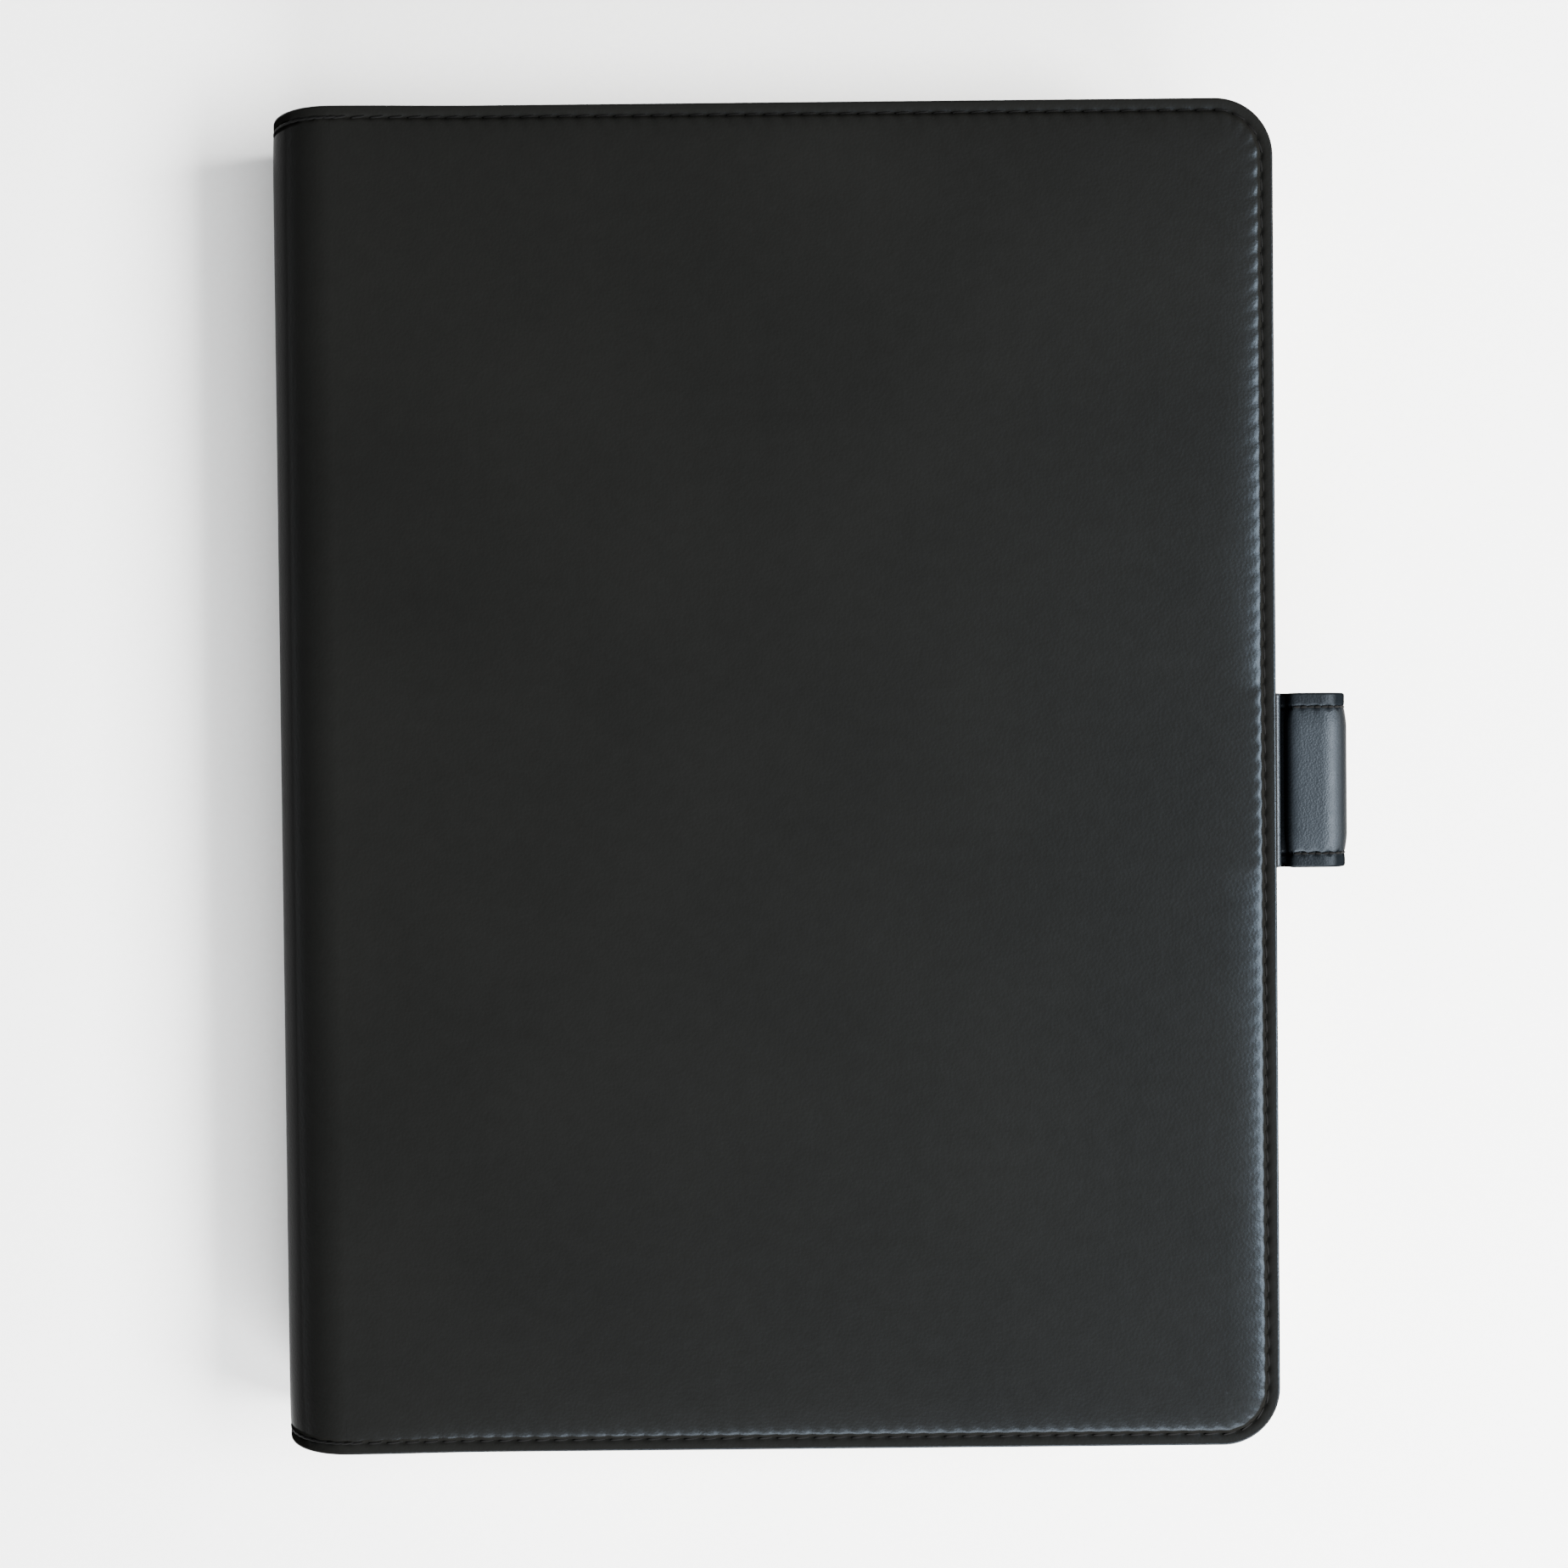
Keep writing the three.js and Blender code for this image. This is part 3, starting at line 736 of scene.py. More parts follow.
for side, up in (("front", 1), ("back", -1)):
    run = seamRun(lambda x: panelLevel(threadLevel(x), up > 0), up)
    piece = sewStitches(side + "SeamStitches", [run], seamThread, stitchPitch, threadBlack)
    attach(piece, side + "_cover")
    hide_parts(side + "_seam_thread")

for fold in range(foldCount):
    runs = []
    radius = spineRadius - threadLevel(foldX)
    for y in (skin["seamInset"] - halfHeight, halfHeight - skin["seamInset"]):
        run = []
        for turn in spread(foldAngle * fold, foldAngle * (fold + 1), 3):
            angle = math.radians(turn)
            out = (-math.sin(angle), 0, -math.cos(angle))
            run.append(((foldX + radius * out[0], y, middleZ + radius * out[2]), out))
        runs.append(run)
    pitch = radius * math.radians(foldAngle) / skin["stitchesPerFold"]
    piece = sewStitches("spineStitches" + str(fold + 1), runs, seamThread, pitch, threadBlack)
    acrossFold(piece)
print("seam stitched")


# thin flat layers


def layerFaces(columns, rows):
    # the faces of a layer whose points run column by column, first over its top and then over its underside
    under = rows * columns
    faces = []
    for i in range(columns - 1):
        for j in range(rows - 1):
            a = i * rows + j
            faces.append((a, a + rows, a + rows + 1, a + 1))
            faces.append((a + under, a + 1 + under, a + rows + 1 + under, a + rows + under))
    rimLoop = ([j for j in range(rows)] + [i * rows + rows - 1 for i in range(1, columns)]
               + [(columns - 1) * rows + j for j in range(rows - 2, -1, -1)]
               + [i * rows for i in range(columns - 2, 0, -1)])
    for n, a in enumerate(rimLoop):
        b = rimLoop[(n + 1) % len(rimLoop)]
        faces.append((a, b, b + under, a + under))
    return faces


def leafSolid(name, left, right, low, high, radius, top, bottom, material, step=4.0, fineX=(), fineY=(),
              spineEnd=False, squareHead=False):
    # a thin layer with rounded fore-edge corners; top and bottom give its heights at (x, y, inset)
    rim = [0, 0.06, 0.16, 0.3, 0.6, 1.4]
    clear = 1.6  # the even rows keep this far from the rim's own
    bends = [radius * share for share in (0.25, 0.5, 0.75, 1)]
    xs = sorted(set([left + d for d in ([0] if spineEnd else rim)] + [right - d for d in rim + bends]
                    + [x for x in spread(left, right, step) if left + clear < x < right - clear]
                    + list(fineX)))
    ys = sorted(set([low + d for d in rim + bends] + [high - d for d in rim + bends]
                    + [y for y in spread(low, high, step) if low + clear < y < high - clear]
                    + list(fineY)))

    def mapped(x, y):
        across = (x - (right - radius)) / radius if radius else 0
        if radius and across > 0:
            for side, corner in ((1, high - radius), (-1, low + radius)):
                if squareHead and side == 1:
                    continue
                along = (y - corner) * side / radius
                if along > 0:
                    reach = max(across, along)
                    turn = (along / across if across >= along else 2 - across / along) * math.pi / 4
                    return (right - radius + radius * reach * math.cos(turn),
                            corner + side * radius * reach * math.sin(turn))
        return x, y

    points, uv = [], []
    for level in (top, bottom):
        for x in xs:
            for y in ys:
                inset = min(x - left if not spineEnd else 1e3, right - x, y - low, high - y)
                mx, my = mapped(x, y)
                points.append((mx, my, level(mx, my, inset)))
                uv.append((mx, my))
    faces = layerFaces(len(xs), len(ys))
    return faceOutwards(makePiece(name, points, faces, [material], uv))


def softEdge(inset, roundness):
    # how much a sheet's face drops beside its cut edge
    if inset >= roundness:
        return 0
    return roundness - math.sqrt(max(roundness ** 2 - (roundness - inset) ** 2, 0))


liningSize = {"inset": 1.6, "thickness": 0.4, "spineThickness": 0.65, "level": 3.2, "spineLevel": 1.15}


def makeLining(isFront):
    side = "front" if isFront else "back"
    size = liningSize

    def under(x, y, inset):
        share = smoothStep(foldX + 0.4, foldX + 3.6, x)
        return size["spineLevel"] + (size["level"] - size["spineLevel"]) * share

    def over(x, y, inset):
        share = smoothStep(foldX + 0.2, foldX + 3.4, x)
        thick = size["spineThickness"] + (size["thickness"] - size["spineThickness"]) * share
        return under(x, y, inset) + thick - softEdge(inset, 0.15)

    piece = leafSolid(side + "Lining", foldX, foreEdge - size["inset"], size["inset"] - halfHeight,
                      halfHeight - size["inset"], cornerRadius - size["inset"],
                      lambda x, y, d: panelLevel(over(x, y, d), isFront),
                      lambda x, y, d: panelLevel(under(x, y, d), isFront), liningCloth,
                      fineX=spread(foldX, foldX + 4, 0.4), spineEnd=True)
    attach(piece, side + "_cover")
    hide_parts(side + "_lining")


def makeSpineLining(fold):
    size = liningSize
    angles = [foldAngle * fold + t for t in spread(0, foldAngle, 3)]
    ys = spread(size["inset"] - halfHeight, halfHeight - size["inset"], 6)
    points, uv = [], []
    for depth in (size["spineLevel"] + size["spineThickness"], size["spineLevel"]):
        for turn in angles:
            angle = math.radians(turn)
            radius = spineRadius - depth
            for y in ys:
                points.append((foldX - radius * math.sin(angle), y, middleZ - radius * math.cos(angle)))
                uv.append((foldX - spineRadius * angle, y))
    faces = layerFaces(len(angles), len(ys))
    piece = faceOutwards(makePiece("spineLining" + str(fold + 1), points, faces, [liningCloth], uv))
    acrossFold(piece)
    if fold < foldCount - 1:
        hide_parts("spine_lining_" + str(fold + 1))


for isFront in (True, False):
    makeLining(isFront)
for fold in range(foldCount):
    makeSpineLining(fold)
print("linings laid")

sleeveSize = {"inset": 1.65, "bottom": 3.65, "top": 5.0, "fold": 6.0, "crease": 0.22, "room": 0.72}


def makeSleeve(isFront):
    side = "front" if isFront else "back"
    mouth = nodeBox(side + "_sleeve")[0][0]
    size = sleeveSize

    def over(x, y, inset):
        # a folded, stitched mouth with a creased line beside it
        line = (x - mouth - size["fold"]) / 0.5
        return size["top"] - size["crease"] * math.exp(-line * line) - softEdge(inset, 0.3)

    def under(x, y, inset):
        # the room for the notebook's card, closed at the sewn rim
        fromEdge = min(foreEdge - size["inset"] - x, halfHeight - size["inset"] - abs(y))
        return size["bottom"] + size["room"] * smoothStep(1.9, 2.3, fromEdge)

    fine = spread(mouth + 4.6, mouth + 7.4, 0.2) + spread(foreEdge - 4.4, foreEdge - 3.2, 0.2)
    piece = leafSolid(side + "Sleeve", mouth, foreEdge - size["inset"], size["inset"] - halfHeight,
                      halfHeight - size["inset"], cornerRadius - size["inset"],
                      lambda x, y, d: panelLevel(over(x, y, d), isFront),
                      lambda x, y, d: panelLevel(under(x, y, d), isFront), innerLeather, fineX=fine)
    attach(piece, side + "_cover")
    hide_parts(side + "_sleeve")


for isFront in (True, False):
    makeSleeve(isFront)

pocketSize = {"inset": 1.7, "crease": 0.12, "hem": 4.0}


def makePocket(step):
    node = "card_pocket_" + str(step)
    low, high = nodeBox(node)
    size = pocketSize

    def over(x, y, inset):
        # the mouth is the pocket's upper edge; a creased line runs beside it
        line = (high[1] - size["hem"] - y) / 0.4
        return low[2] + size["crease"] * math.exp(-line * line) + softEdge(inset, 0.2)

    piece = leafSolid("cardPocket" + str(step), low[0], foreEdge - size["inset"],
                      size["inset"] - halfHeight, high[1], cornerRadius - size["inset"], over,
                      lambda x, y, d: high[2], innerLeather, step=3.0,
                      fineY=spread(high[1] - 5.2, high[1] - 2.8, 0.15), squareHead=True)
    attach(piece, "front_cover")
    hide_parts(node)


for step in (1, 2, 3):
    makePocket(step)
print("sleeves and pockets made")


# the pen loop

loopLow, loopHigh = nodeBox("pen_loop_strap")
loopSize = {
    "radius": 5.4,
    "squareness": 2.2,  # 2 is a circle
    "creaseSquareness": 9.0,
    "leather": 0.9,
    "lining": 0.5,
    "stitchInset": 2.3,
    "hemDrop": 0.32,
    # painted shade and dulled gloss on the strap's hem bands
    "hemDull": 0.6,
    "grooveDepth": 0.16,
    "grooveWidth": 0.35,
    "endRoll": 0.4,
    "pinch": 0.26,
    "pitDullShade": 0.8,
    "valleyDullShade": 0.4,
    "boreInset": 0.12,  # the inside's ends lie this far in from the strap's edges
    "boreCount": 64,
    "stitchPitch": 2.25,
    "seamStart": 4.7,  # along the strap from the cover's edge
    "seamEnd": 2.6,
    "strapGrain": 400,  # where on the hide's grain the strap and its inside lie
    "boreGrain": 500,
}
loopCentreX = loopHigh[0] - loopSize["radius"]
loopCentreZ = loopLow[2] + loopSize["radius"]
loopTail, loopHead = loopLow[1], loopHigh[1]


def roundPoint(angle, radius):
    # a circle with its sides pressed flatter, more so at the crease beside the cover
    across, up = math.cos(angle), math.sin(angle)
    power = loopSize["squareness" if across > 0 or up < 0 else "creaseSquareness"]
    reach = radius / (abs(across) ** power + abs(up) ** power) ** (1 / power)
    return loopCentreX + reach * across, loopCentreZ + reach * up


def loopPath():
    # the strap's outer face: over the shoulder beside the seam, down the crease and round the pen
    ridge = [(0.05, 0), (0.24, -0.03), (0.44, -0.1), (0.64, -0.21), (0.8, -0.35), (0.9, -0.57), (0.96, -0.88),
             (1.01, -1.2), (1.1, -1.5), (1.23, -1.7), (1.4, -1.78), (1.58, -1.72), (1.76, -1.54)]
    under = [(1.35, -2.9), (1.15, -1.9), (0.85, -0.9), (0.45, -0.2), (0.05, 0)]
    path = [(foreEdge + x, tabHigh[2] + z) for x, z in ridge]
    path += [roundPoint(math.radians(a), loopSize["radius"]) for a in range(153, -163, -3)]
    path += [(foreEdge + x, tabLow[2] + z) for x, z in under]
    normals, lengths = [], [0]
    for i in range(len(path)):
        a, b = path[max(i - 1, 0)], path[min(i + 1, len(path) - 1)]
        size = math.hypot(b[0] - a[0], b[1] - a[1])
        normals.append(((a[1] - b[1]) / size, (b[0] - a[0]) / size))
    for a, b in zip(path, path[1:]):
        lengths.append(lengths[-1] + math.hypot(b[0] - a[0], b[1] - a[1]))
    return path, normals, lengths


def loopSeam(lengths):
    # where the edge seams start, where they stop, and the exact pitch between
    start = min(v for v in lengths if v >= loopSize["seamStart"])
    stop = max(v for v in lengths if v <= lengths[-1] - loopSize["seamEnd"])
    return start, stop, (stop - start) / round((stop - start) / loopSize["stitchPitch"])


def makeStrap():
    size = loopSize
    path, normals, lengths = loopPath()
    start, stop, pitch = loopSeam(lengths)
    rim = [0, 0.05, 0.12, 0.22, 0.32, 0.4, 0.7, 1.0, 1.3, 1.6, 1.8, 1.95, 2.08, 2.19, 2.3, 2.41, 2.52, 2.65,
           2.85, 3.1, 3.5, 4.0, 4.6, 5.4, 6.4]
    ys = [loopTail + d for d in rim] + spread(loopTail + 7.6, loopHead - 7.6, 1.2)
    ys += [loopHead - d for d in reversed(rim)]
    points, uv, worn, creased = [], [], [], []
    # the outer face and the wrapped root: hems, groove, needle pits and the valley beside the cover, with
    # painted shade and dulled gloss in the valley, the hem bands and the pits
    for y in ys:
        inset = min(y - loopTail, loopHead - y)
        for (x, z), (nx, nz), run in zip(path, normals, lengths):
            fade = smoothStep(1.0, 2.4, run) * smoothStep(1.0, 3.0, lengths[-1] - run)
            along = (run - start) / pitch
            sewn = smoothStep(start - 0.6, start, run) * smoothStep(stop + 0.6, stop, run)
            hole = (0.5 + 0.5 * math.cos(2 * math.pi * along)) ** 2 * sewn
            away = inset - size["stitchInset"]
            drop = size["hemDrop"] * (1 - smoothStep(1.9, 5.5, inset))
            drop += size["grooveDepth"] * math.exp(-(away / size["grooveWidth"]) ** 2)
            drop += size["pinch"] * hole * math.exp(-((away - 0.1) / 0.5) ** 2)
            drop = drop * fade + softEdge(inset, size["endRoll"])
            points.append((x - nx * drop, y, z - nz * drop))
            uv.append((size["strapGrain"] + run, y))
            worn.append(smoothStep(1.1, 0.8, run))
            # painted shade: the valley beside the cover, the hem bands and the needle pits are darkened and
            # dulled through the crease share
            valley = smoothStep(0.9, 1.5, run) * smoothStep(4.2, 3.8, run)
            hem = smoothStep(2.2, 1.7, inset) * size["hemDull"] * smoothStep(1.2, 2.4, run)
            pit = hole * math.exp(-((away + 0.05) / 0.3) ** 2) * size["pitDullShade"]
            creased.append(min(1, max(valley * size["valleyDullShade"], hem, pit)))
    rows = len(path)
    faces = []
    for k in range(len(ys) - 1):
        for i in range(rows):
            j = (i + 1) % rows
            faces.append((k * rows + i, k * rows + j, (k + 1) * rows + j, (k + 1) * rows + i))
    # the strap's inside, round the lining
    boreStart = len(points)
    boreCount = size["boreCount"]
    boreYs = [loopTail + size["boreInset"], loopTail + size["endRoll"],
              loopHead - size["endRoll"], loopHead - size["boreInset"]]
    for y in boreYs:
        wide = size["radius"] - size["leather"]
        for i in range(boreCount):
            x, z = roundPoint(2 * math.pi * i / boreCount, wide)
            points.append((x, y, z))
            uv.append((size["boreGrain"] + wide * 2 * math.pi * i / boreCount, y))
            worn.append(0.0)
            # painted shade inside the strap: half the crease share
            creased.append(0.5)
    for k in range(len(boreYs) - 1):
        for i in range(boreCount):
            j = (i + 1) % boreCount
            a = boreStart + k * boreCount
            faces.append((a + i, a + boreCount + i, a + boreCount + j, a + j))
    piece = makePiece("penLoopStrap", points, faces, [loopLeatherPaintedLight], uv,
                      shares={"burnish": worn, "crease": creased})
    # the strap's two ends are filled between its outside and its inside
    work = bmesh.new()
    work.from_mesh(piece.data)
    for atTail in (True, False):
        openEdges = [e for e in work.edges if e.is_boundary and (e.verts[0].co.y < 0) == atTail]
        bmesh.ops.triangle_fill(work, use_beauty=True, use_dissolve=False, edges=openEdges)
    bmesh.ops.recalc_face_normals(work, faces=work.faces)
    work.to_mesh(piece.data)
    work.free()
    piece.data.shade_smooth()
    piece.data.set_sharp_from_angle(angle=math.radians(42))
    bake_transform(piece)
    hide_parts("pen_loop_strap")


def makeLoopLining():
    size = loopSize
    outer = size["radius"] - size["leather"] - 0.06
    inner = outer - size["lining"]
    count = 72
    ys = [loopTail + 0.45, loopTail + 0.55] + spread(loopTail + 1, loopHead - 1, 3)
    ys += [loopHead - 0.55, loopHead - 0.45]
    points, uv, faces = [], [], []
    for reach in (outer, inner):
        for n, y in enumerate(ys):
            wide = reach - (0.1 if n in (0, len(ys) - 1) else 0) * (1 if reach == outer else -1)
            for i in range(count):
                x, z = roundPoint(2 * math.pi * i / count, wide)
                points.append((x, y, z))
                uv.append((2 * math.pi * wide * i / count, y))
    inside = len(ys) * count
    for i in range(count):
        j = (i + 1) % count
        for k in range(len(ys) - 1):
            a = k * count
            faces.append((a + i, a + j, a + count + j, a + count + i))
            faces.append((inside + a + i, inside + a + count + i, inside + a + count + j, inside + a + j))
        last = (len(ys) - 1) * count
        faces.append((i, inside + i, inside + j, j))
        faces.append((last + i, last + j, inside + last + j, inside + last + i))
    piece = faceOutwards(makePiece("penLoopLining", points, faces, [liningCloth], uv))
    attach(piece, "pen_loop")
    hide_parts("pen_loop_lining")


makeStrap()
makeLoopLining()

loopThread = {"length": 1.2, "width": 0.46, "height": 0.3, "slant": 0.0, "seed": 7}
strapPath, strapNormals, strapLengths = loopPath()
seamStart, seamStop, loopPitch = loopSeam(strapLengths)
loopRuns = []
for y in (loopTail + loopSize["stitchInset"], loopHead - loopSize["stitchInset"]):
    drop = loopSize["hemDrop"] + loopSize["grooveDepth"] - 0.05
    loopRuns.append([((x - nx * drop, y, z - nz * drop), (nx, 0, nz))
                     for (x, z), (nx, nz), run in zip(strapPath, strapNormals, strapLengths)
                     if seamStart <= run <= seamStop])
loopStitches = sewStitches("penLoopStitches", loopRuns, loopThread, loopPitch, threadBlack)
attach(loopStitches, "pen_loop")
print("pen loop made")


# the notebook

bookSize = {
    "leavesPerSignature": 8,
    "leafThickness": 0.115,
    "jitter": 0.1,
    "gutterDip": 0.8,
    "gutterReach": 6.0,
    "cornerRadius": 6.0,
    "seed": 11,
}


def leafTree():
    tree = bpy.data.node_groups.new("stackedLeaves", "GeometryNodeTree")
    face = tree.interface
    face.new_socket("Geometry", in_out="INPUT", socket_type="NodeSocketGeometry")
    face.new_socket("Leaves", in_out="INPUT", socket_type="NodeSocketInt")
    for label in ("Pitch", "Jitter"):
        face.new_socket(label, in_out="INPUT", socket_type="NodeSocketFloat")
    face.new_socket("Seed", in_out="INPUT", socket_type="NodeSocketInt")
    face.new_socket("Geometry", in_out="OUTPUT", socket_type="NodeSocketGeometry")
    given = addNode(tree, "NodeGroupInput").outputs
    step = addNode(tree, "ShaderNodeCombineXYZ", None, {2: given["Pitch"]})
    line = addNode(tree, "GeometryNodeMeshLine", {"mode": "OFFSET"},
                   {"Count": given["Leaves"], "Offset": step.outputs[0]})
    lowest = addNode(tree, "ShaderNodeMath", {"operation": "MULTIPLY"}, {0: given["Jitter"], 1: -1.0})
    least = addNode(tree, "ShaderNodeCombineXYZ", None, {0: lowest.outputs[0], 1: lowest.outputs[0]})
    most = addNode(tree, "ShaderNodeCombineXYZ", None, {0: 0.0, 1: given["Jitter"]})
    loose = addNode(tree, "FunctionNodeRandomValue", {"data_type": "FLOAT_VECTOR"},
                    {0: least.outputs[0], 1: most.outputs[0], "Seed": given["Seed"]})
    shifted = addNode(tree, "GeometryNodeSetPosition", None,
                      {0: line.outputs[0], "Offset": loose.outputs[0]})
    placed = addNode(tree, "GeometryNodeInstanceOnPoints", None,
                     {"Points": shifted.outputs[0], "Instance": given["Geometry"]})
    real = addNode(tree, "GeometryNodeRealizeInstances", None, {0: placed.outputs[0]})
    faceMaterial = addNode(tree, "GeometryNodeSetMaterial", None,
                           {0: real.outputs[0], "Material": paperFace})
    side = addNode(tree, "GeometryNodeInputNamedAttribute", {"data_type": "BOOLEAN"}, {"Name": "cutEdge"})
    edgeMaterial = addNode(tree, "GeometryNodeSetMaterial", None,
                           {0: faceMaterial.outputs[0], "Selection": side.outputs[0], "Material": paperEdge})
    addNode(tree, "NodeGroupOutput", None, {0: edgeMaterial.outputs[0]})
    return tree


leafNodes = leafTree()


def oneLeaf(low, high, thickness):
    # a leaf with rounded fore-edge corners, lying at the bottom of its signature
    radius = bookSize["cornerRadius"]
    left, right, end = low[0], high[0], high[1]
    outline = [(x, -end) for x in spread(left, right - radius, 14)]
    gutter = [left + d for d in (1, 2, 3, 4.5, 6, 8, 10.5)]
    outline = sorted(set(outline + [(x, -end) for x in gutter]))
    outline += [(right - radius + radius * math.cos(a), -end + radius + radius * math.sin(a))
                for a in [math.radians(d) for d in (-75, -60, -45, -30, -15, 0)]]
    ring = outline + [(x, -y) for x, y in reversed(outline)]
    count = len(ring)
    half = len(outline)
    points = [(x, y, low[2]) for x, y in ring] + [(x, y, low[2] + thickness) for x, y in ring]
    faces, cut = [], []
    for i in range(half - 1):
        faces.append((i, count - 1 - i, count - 2 - i, i + 1))
        cut.append(False)
        faces.append((count + i, count + i + 1, 2 * count - 2 - i, 2 * count - 1 - i))
        cut.append(False)
    for i in range(count):
        j = (i + 1) % count
        faces.append((i, j, count + j, count + i))
        cut.append(True)
    leaf = makePiece("leaf", points, faces, [])
    attribute = leaf.data.attributes.new("cutEdge", "BOOLEAN", "FACE")
    attribute.data.foreach_set("value", cut)
    return leaf


def makeSignature(node, name, body, seed, isFront):
    low, high = nodeBox(node)
    size = bookSize
    leaf = oneLeaf(low, high, size["leafThickness"])
    pitch = (high[2] - low[2] - size["leafThickness"]) / (size["leavesPerSignature"] - 1)
    values = {"Leaves": size["leavesPerSignature"], "Pitch": pitch * mm, "Jitter": size["jitter"] * mm,
              "Seed": seed}
    piece = runNodes(leaf, leafNodes, values, name)
    # the open middle of the notebook dips into its gutter
    for vertex in piece.data.vertices:
        x, z = vertex.co.x / mm, vertex.co.z / mm
        share = math.exp(-((x - low[0]) / size["gutterReach"]) * 1.6)
        near = (bookTop - z) / (bookTop - middleZ) if isFront else (z - bookBottom) / (middleZ - bookBottom)
        vertex.co.z += size["gutterDip"] * share * near * mm * (1 if isFront else -1)
        vertex.co.x -= size["gutterReach"] * 0.1 * max(0, 1 - (x - low[0]) / 2) * near ** 6 * mm
    faceOutwards(piece)
    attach(piece, body)
    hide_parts(node)


bookBottom = nodeBox("signature_back_1")[0][2]
bookTop = max(nodeBox(n)[1][2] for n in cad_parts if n.startswith("signature_front"))
for node in sorted(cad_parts):
    if node.startswith("signature_"):
        number = int(node.rsplit("_", 1)[1])
        isFront = "front" in node
        label = ("front" if isFront else "back") + "Signature" + str(number)
        makeSignature(node, label, "notebook_front" if isFront else "notebook_back",
                      bookSize["seed"] + number + (20 if isFront else 0), isFront)
print("notebook leaves stacked")


def makeCard(node, name, body):
    low, high = nodeBox(node)
    roundness = 0.12
    piece = leafSolid(name, low[0], high[0], low[1], high[1], bookSize["cornerRadius"],
                      lambda x, y, d: high[2] - softEdge(d, roundness),
                      lambda x, y, d: low[2] + softEdge(d, roundness), cardStock, step=12)
    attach(piece, body)
    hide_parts(node)


makeCard("notebook_back_card", "notebookBackCard", "notebook_back")
makeCard("notebook_front_card", "notebookFrontCard", "notebook_front_card")


def makeBookSpine():
    # cloth over the sewn backs of the signatures, with closer rows where the notebook opens
    low, high = nodeBox("notebook_spine_back")
    top = nodeBox("notebook_spine_front")[1][2]
    zs = (spread(low[2], middleZ - 2, 0.8) + spread(middleZ - 1.8, middleZ + 1.8, 0.2)
          + spread(middleZ + 2, top, 0.8))
    ys = spread(low[1], high[1], 15)
    points, uv = [], []
    for x in (low[0], high[0]):
        for z in zs:
            for y in ys:
                points.append((x, y, z))
                uv.append((z, y))
    faces = layerFaces(len(zs), len(ys))
    piece = faceOutwards(makePiece("notebookSpineCloth", points, faces, [spineCloth], uv))
    x = low[0] * mm
    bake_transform(piece)
    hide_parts("notebook_spine_back", "notebook_spine_front")


makeBookSpine()
print("notebook bound")


# stitches inside the cover

innerThread = {"length": 2.2, "width": 0.42, "height": 0.26, "slant": -7.0, "seed": 9, "stand": 0.03}


def insideRuns(side):
    # round the sleeve, along the lining's two ends, and down the sleeve's folded mouth
    isFront = side == "front"
    up = -1 if isFront else 1
    mouth = nodeBox(side + "_sleeve")[0][0]
    stand = innerThread["stand"]
    liningLevel = panelLevel(liningSize["level"] + liningSize["thickness"] + stand, isFront)
    sleeveLevel = panelLevel(sleeveSize["top"] + stand, isFront)
    runs = [seamRun(lambda x: sleeveLevel, up, start=mouth + 0.4)]
    for y in (skin["seamInset"] - halfHeight, halfHeight - skin["seamInset"]):
        runs.append([((x, y, liningLevel), (0, 0, up)) for x in spread(foldX + 4.2, mouth - 0.4, 3)])
    along = spread(-halfHeight + 5, halfHeight - 5, 3)
    runs.append([((mouth + sleeveSize["fold"] / 2, y, sleeveLevel), (0, 0, up)) for y in along])
    return runs


for side in ("front", "back"):
    piece = sewStitches(side + "InnerStitches", insideRuns(side), innerThread, stitchPitch, threadBlack)
    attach(piece, side + "_cover")
print("inside stitched")

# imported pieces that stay

keptLooks = {
    "back_foam": foamSheet,
    "front_foam": foamSheet,
    "back_board": greyBoard,
    "front_board": greyBoard,
    "pen_loop_tab": plainLeather,
}
for node, material in keptLooks.items():
    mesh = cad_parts[node].data
    mesh.materials.clear()
    mesh.materials.append(material)


# floor, light and camera


def paleFloor():
    mesh = bpy.data.meshes.new("paleFloor")
    reach = 1.6
    mesh.from_pydata([(-reach, -reach, 0), (reach, -reach, 0), (reach, reach, 0), (-reach, reach, 0)], [],
                     [(0, 1, 2, 3)])
    floor = bpy.data.objects.new("paleFloor", mesh)
    # a matt white table top, sprayed: the finest grain and no gloss
    material, tree, shader = newMaterial("matWhiteTable")
    place = addNode(tree, "ShaderNodeTexCoord").outputs["Object"]
    grain = addNode(tree, "ShaderNodeTexNoise", None, {"Vector": place, "Scale": 900.0, "Detail": 3.0})
    mix = addNode(tree, "ShaderNodeMix", {"data_type": "RGBA"},
                  {"Factor": grain.outputs["Fac"], 6: linearColour("F4F4F2"), 7: linearColour("FBFBFA")})
    tree.links.new(mix.outputs[2], shader.inputs["Base Color"])
    shader.inputs["Roughness"].default_value = 0.9
    mesh.materials.append(material)
    bpy.context.scene.collection.objects.link(floor)


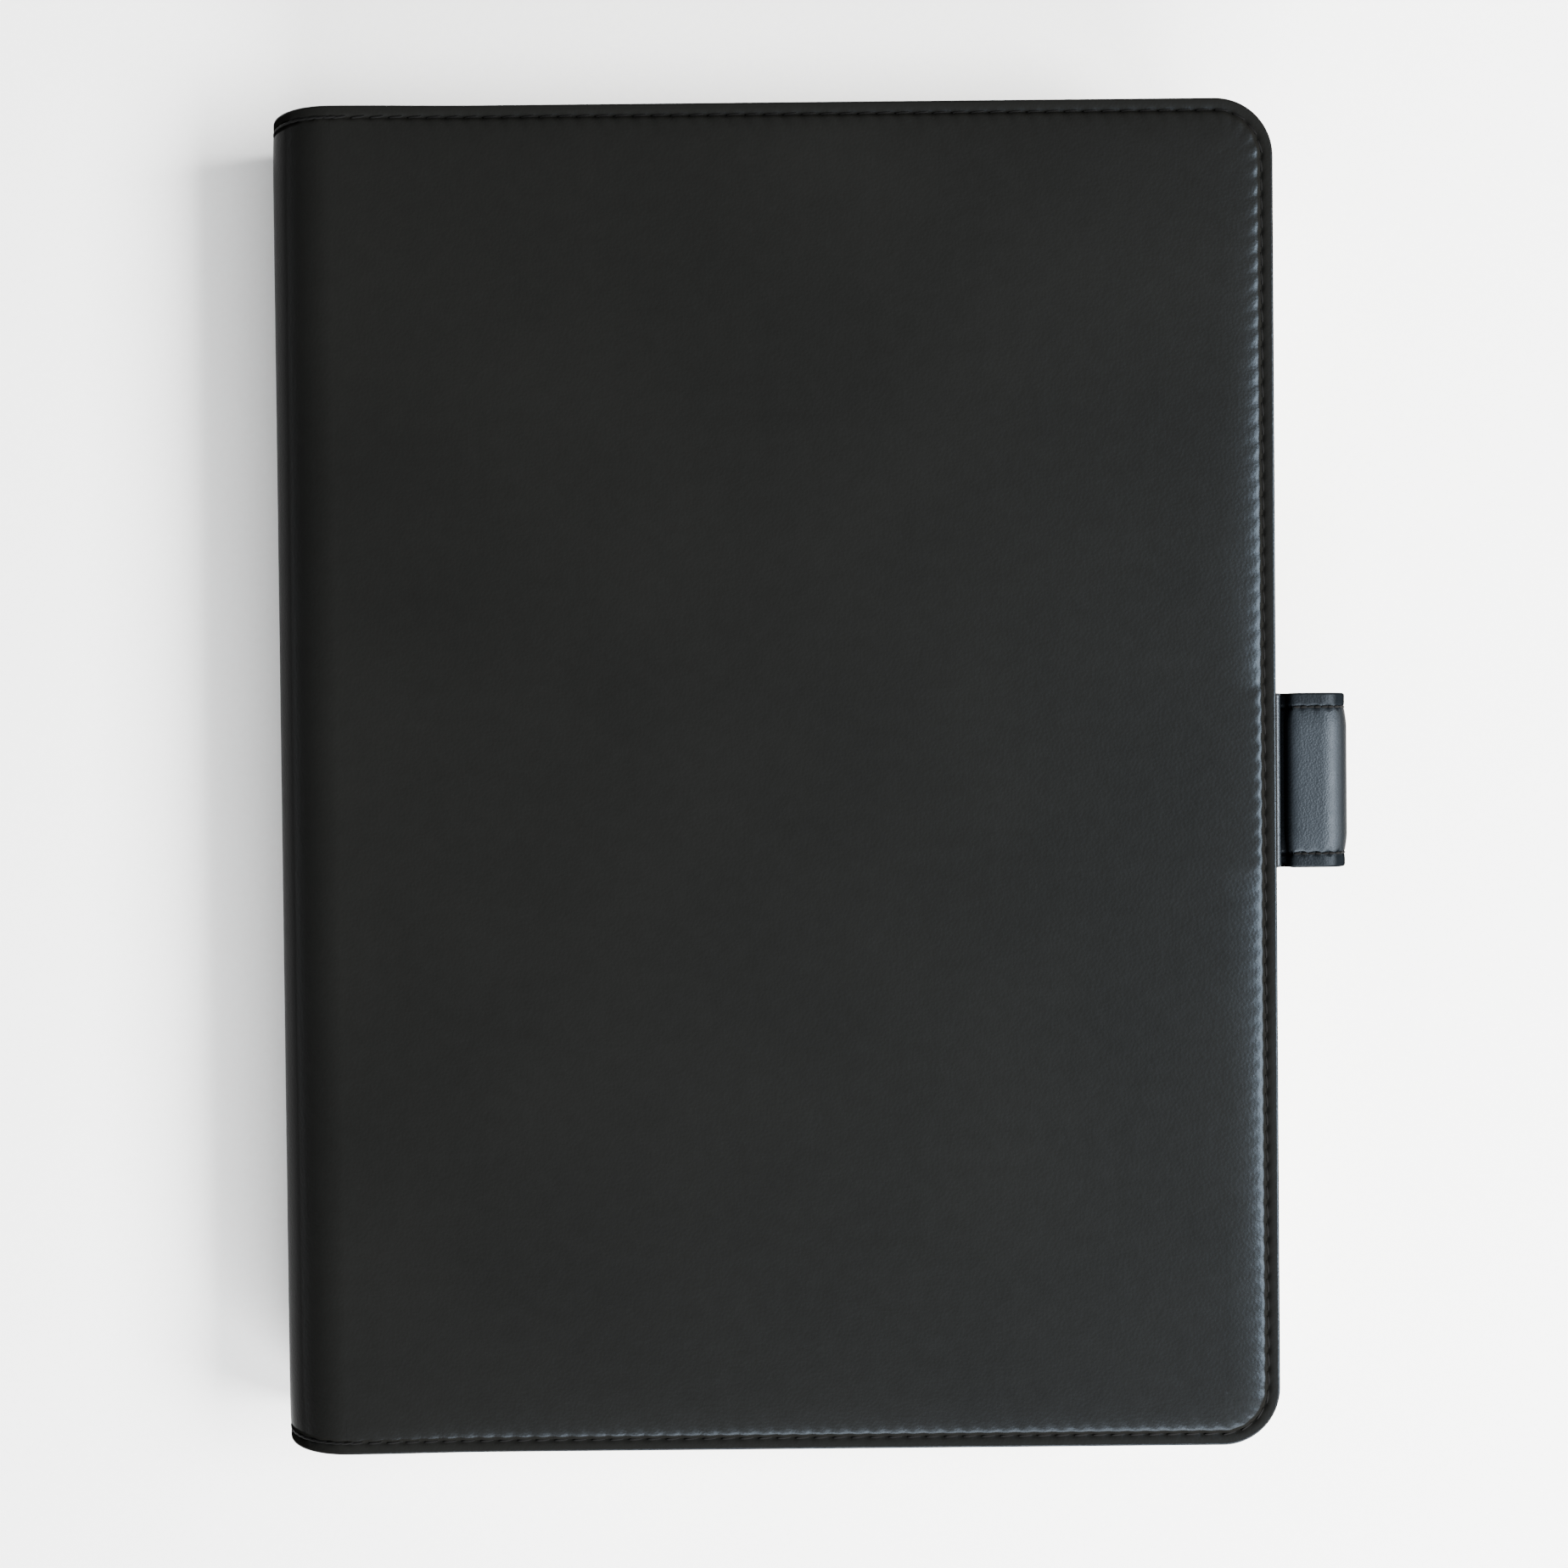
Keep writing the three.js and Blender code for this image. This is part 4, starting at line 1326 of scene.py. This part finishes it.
lights = {
    "windowLight": {"place": (0.9, -0.1, 0.75), "size": (0.8, 0.42), "power": 90, "colour": "FFFFFF"},
    "deskLight": {"place": (0.28, -1.08, 0.56), "size": (1.0, 0.5), "power": 82, "colour": "FCFDFF"},
}
room = {"colour": "FDFEFF", "fill": 0.15, "seen": 1.6}


def areaLight(name, place, size, power, colour):
    # a soft rectangular light that aims at the middle of the table
    data = bpy.data.lights.new(name, "AREA")
    data.shape = "RECTANGLE"
    data.size, data.size_y = size
    data.energy = power
    data.color = linearColour(colour)[:3]
    light = bpy.data.objects.new(name, data)
    light.location = place
    light.rotation_euler = (-Vector(place)).to_track_quat("-Z", "Y").to_euler()
    bpy.context.scene.collection.objects.link(light)


paleFloor()
for name, values in lights.items():
    areaLight(name, **values)
world = bpy.data.worlds.new("paleRoom")
world.use_nodes = True
backdrop = world.node_tree.nodes["Background"]
backdrop.inputs["Color"].default_value = linearColour(room["colour"])
# the room fills in softly, and its far wall is seen as pale as the table
seen = addNode(world.node_tree, "ShaderNodeLightPath")
glow = addNode(world.node_tree, "ShaderNodeMath", {"operation": "MULTIPLY_ADD"},
               {0: seen.outputs["Is Camera Ray"], 1: room["seen"], 2: room["fill"]})
world.node_tree.links.new(glow.outputs[0], backdrop.inputs["Strength"])
bpy.context.scene.world = world

view = {
    "height": 305.2,  # above the front face
    "x": 2.33,
    "y": 3.62,
    "lens": 43.07,
    "roll": 0.57,
    "pitch": -0.825,
    "yaw": 0.04,
}
cameraData = bpy.data.cameras.new("overheadCamera")
cameraData.sensor_width = 36
cameraData.sensor_fit = "HORIZONTAL"
cameraData.lens = view["lens"]
cameraData.clip_start = 0.01
camera = bpy.data.objects.new("overheadCamera", cameraData)
camera.location = (view["x"] * mm, view["y"] * mm, (closedThickness + view["height"]) * mm)
camera.rotation_euler = (math.radians(view["pitch"]), math.radians(view["yaw"]), math.radians(-view["roll"]))
bpy.context.scene.collection.objects.link(camera)
bpy.context.scene.camera = camera
print("stage set")
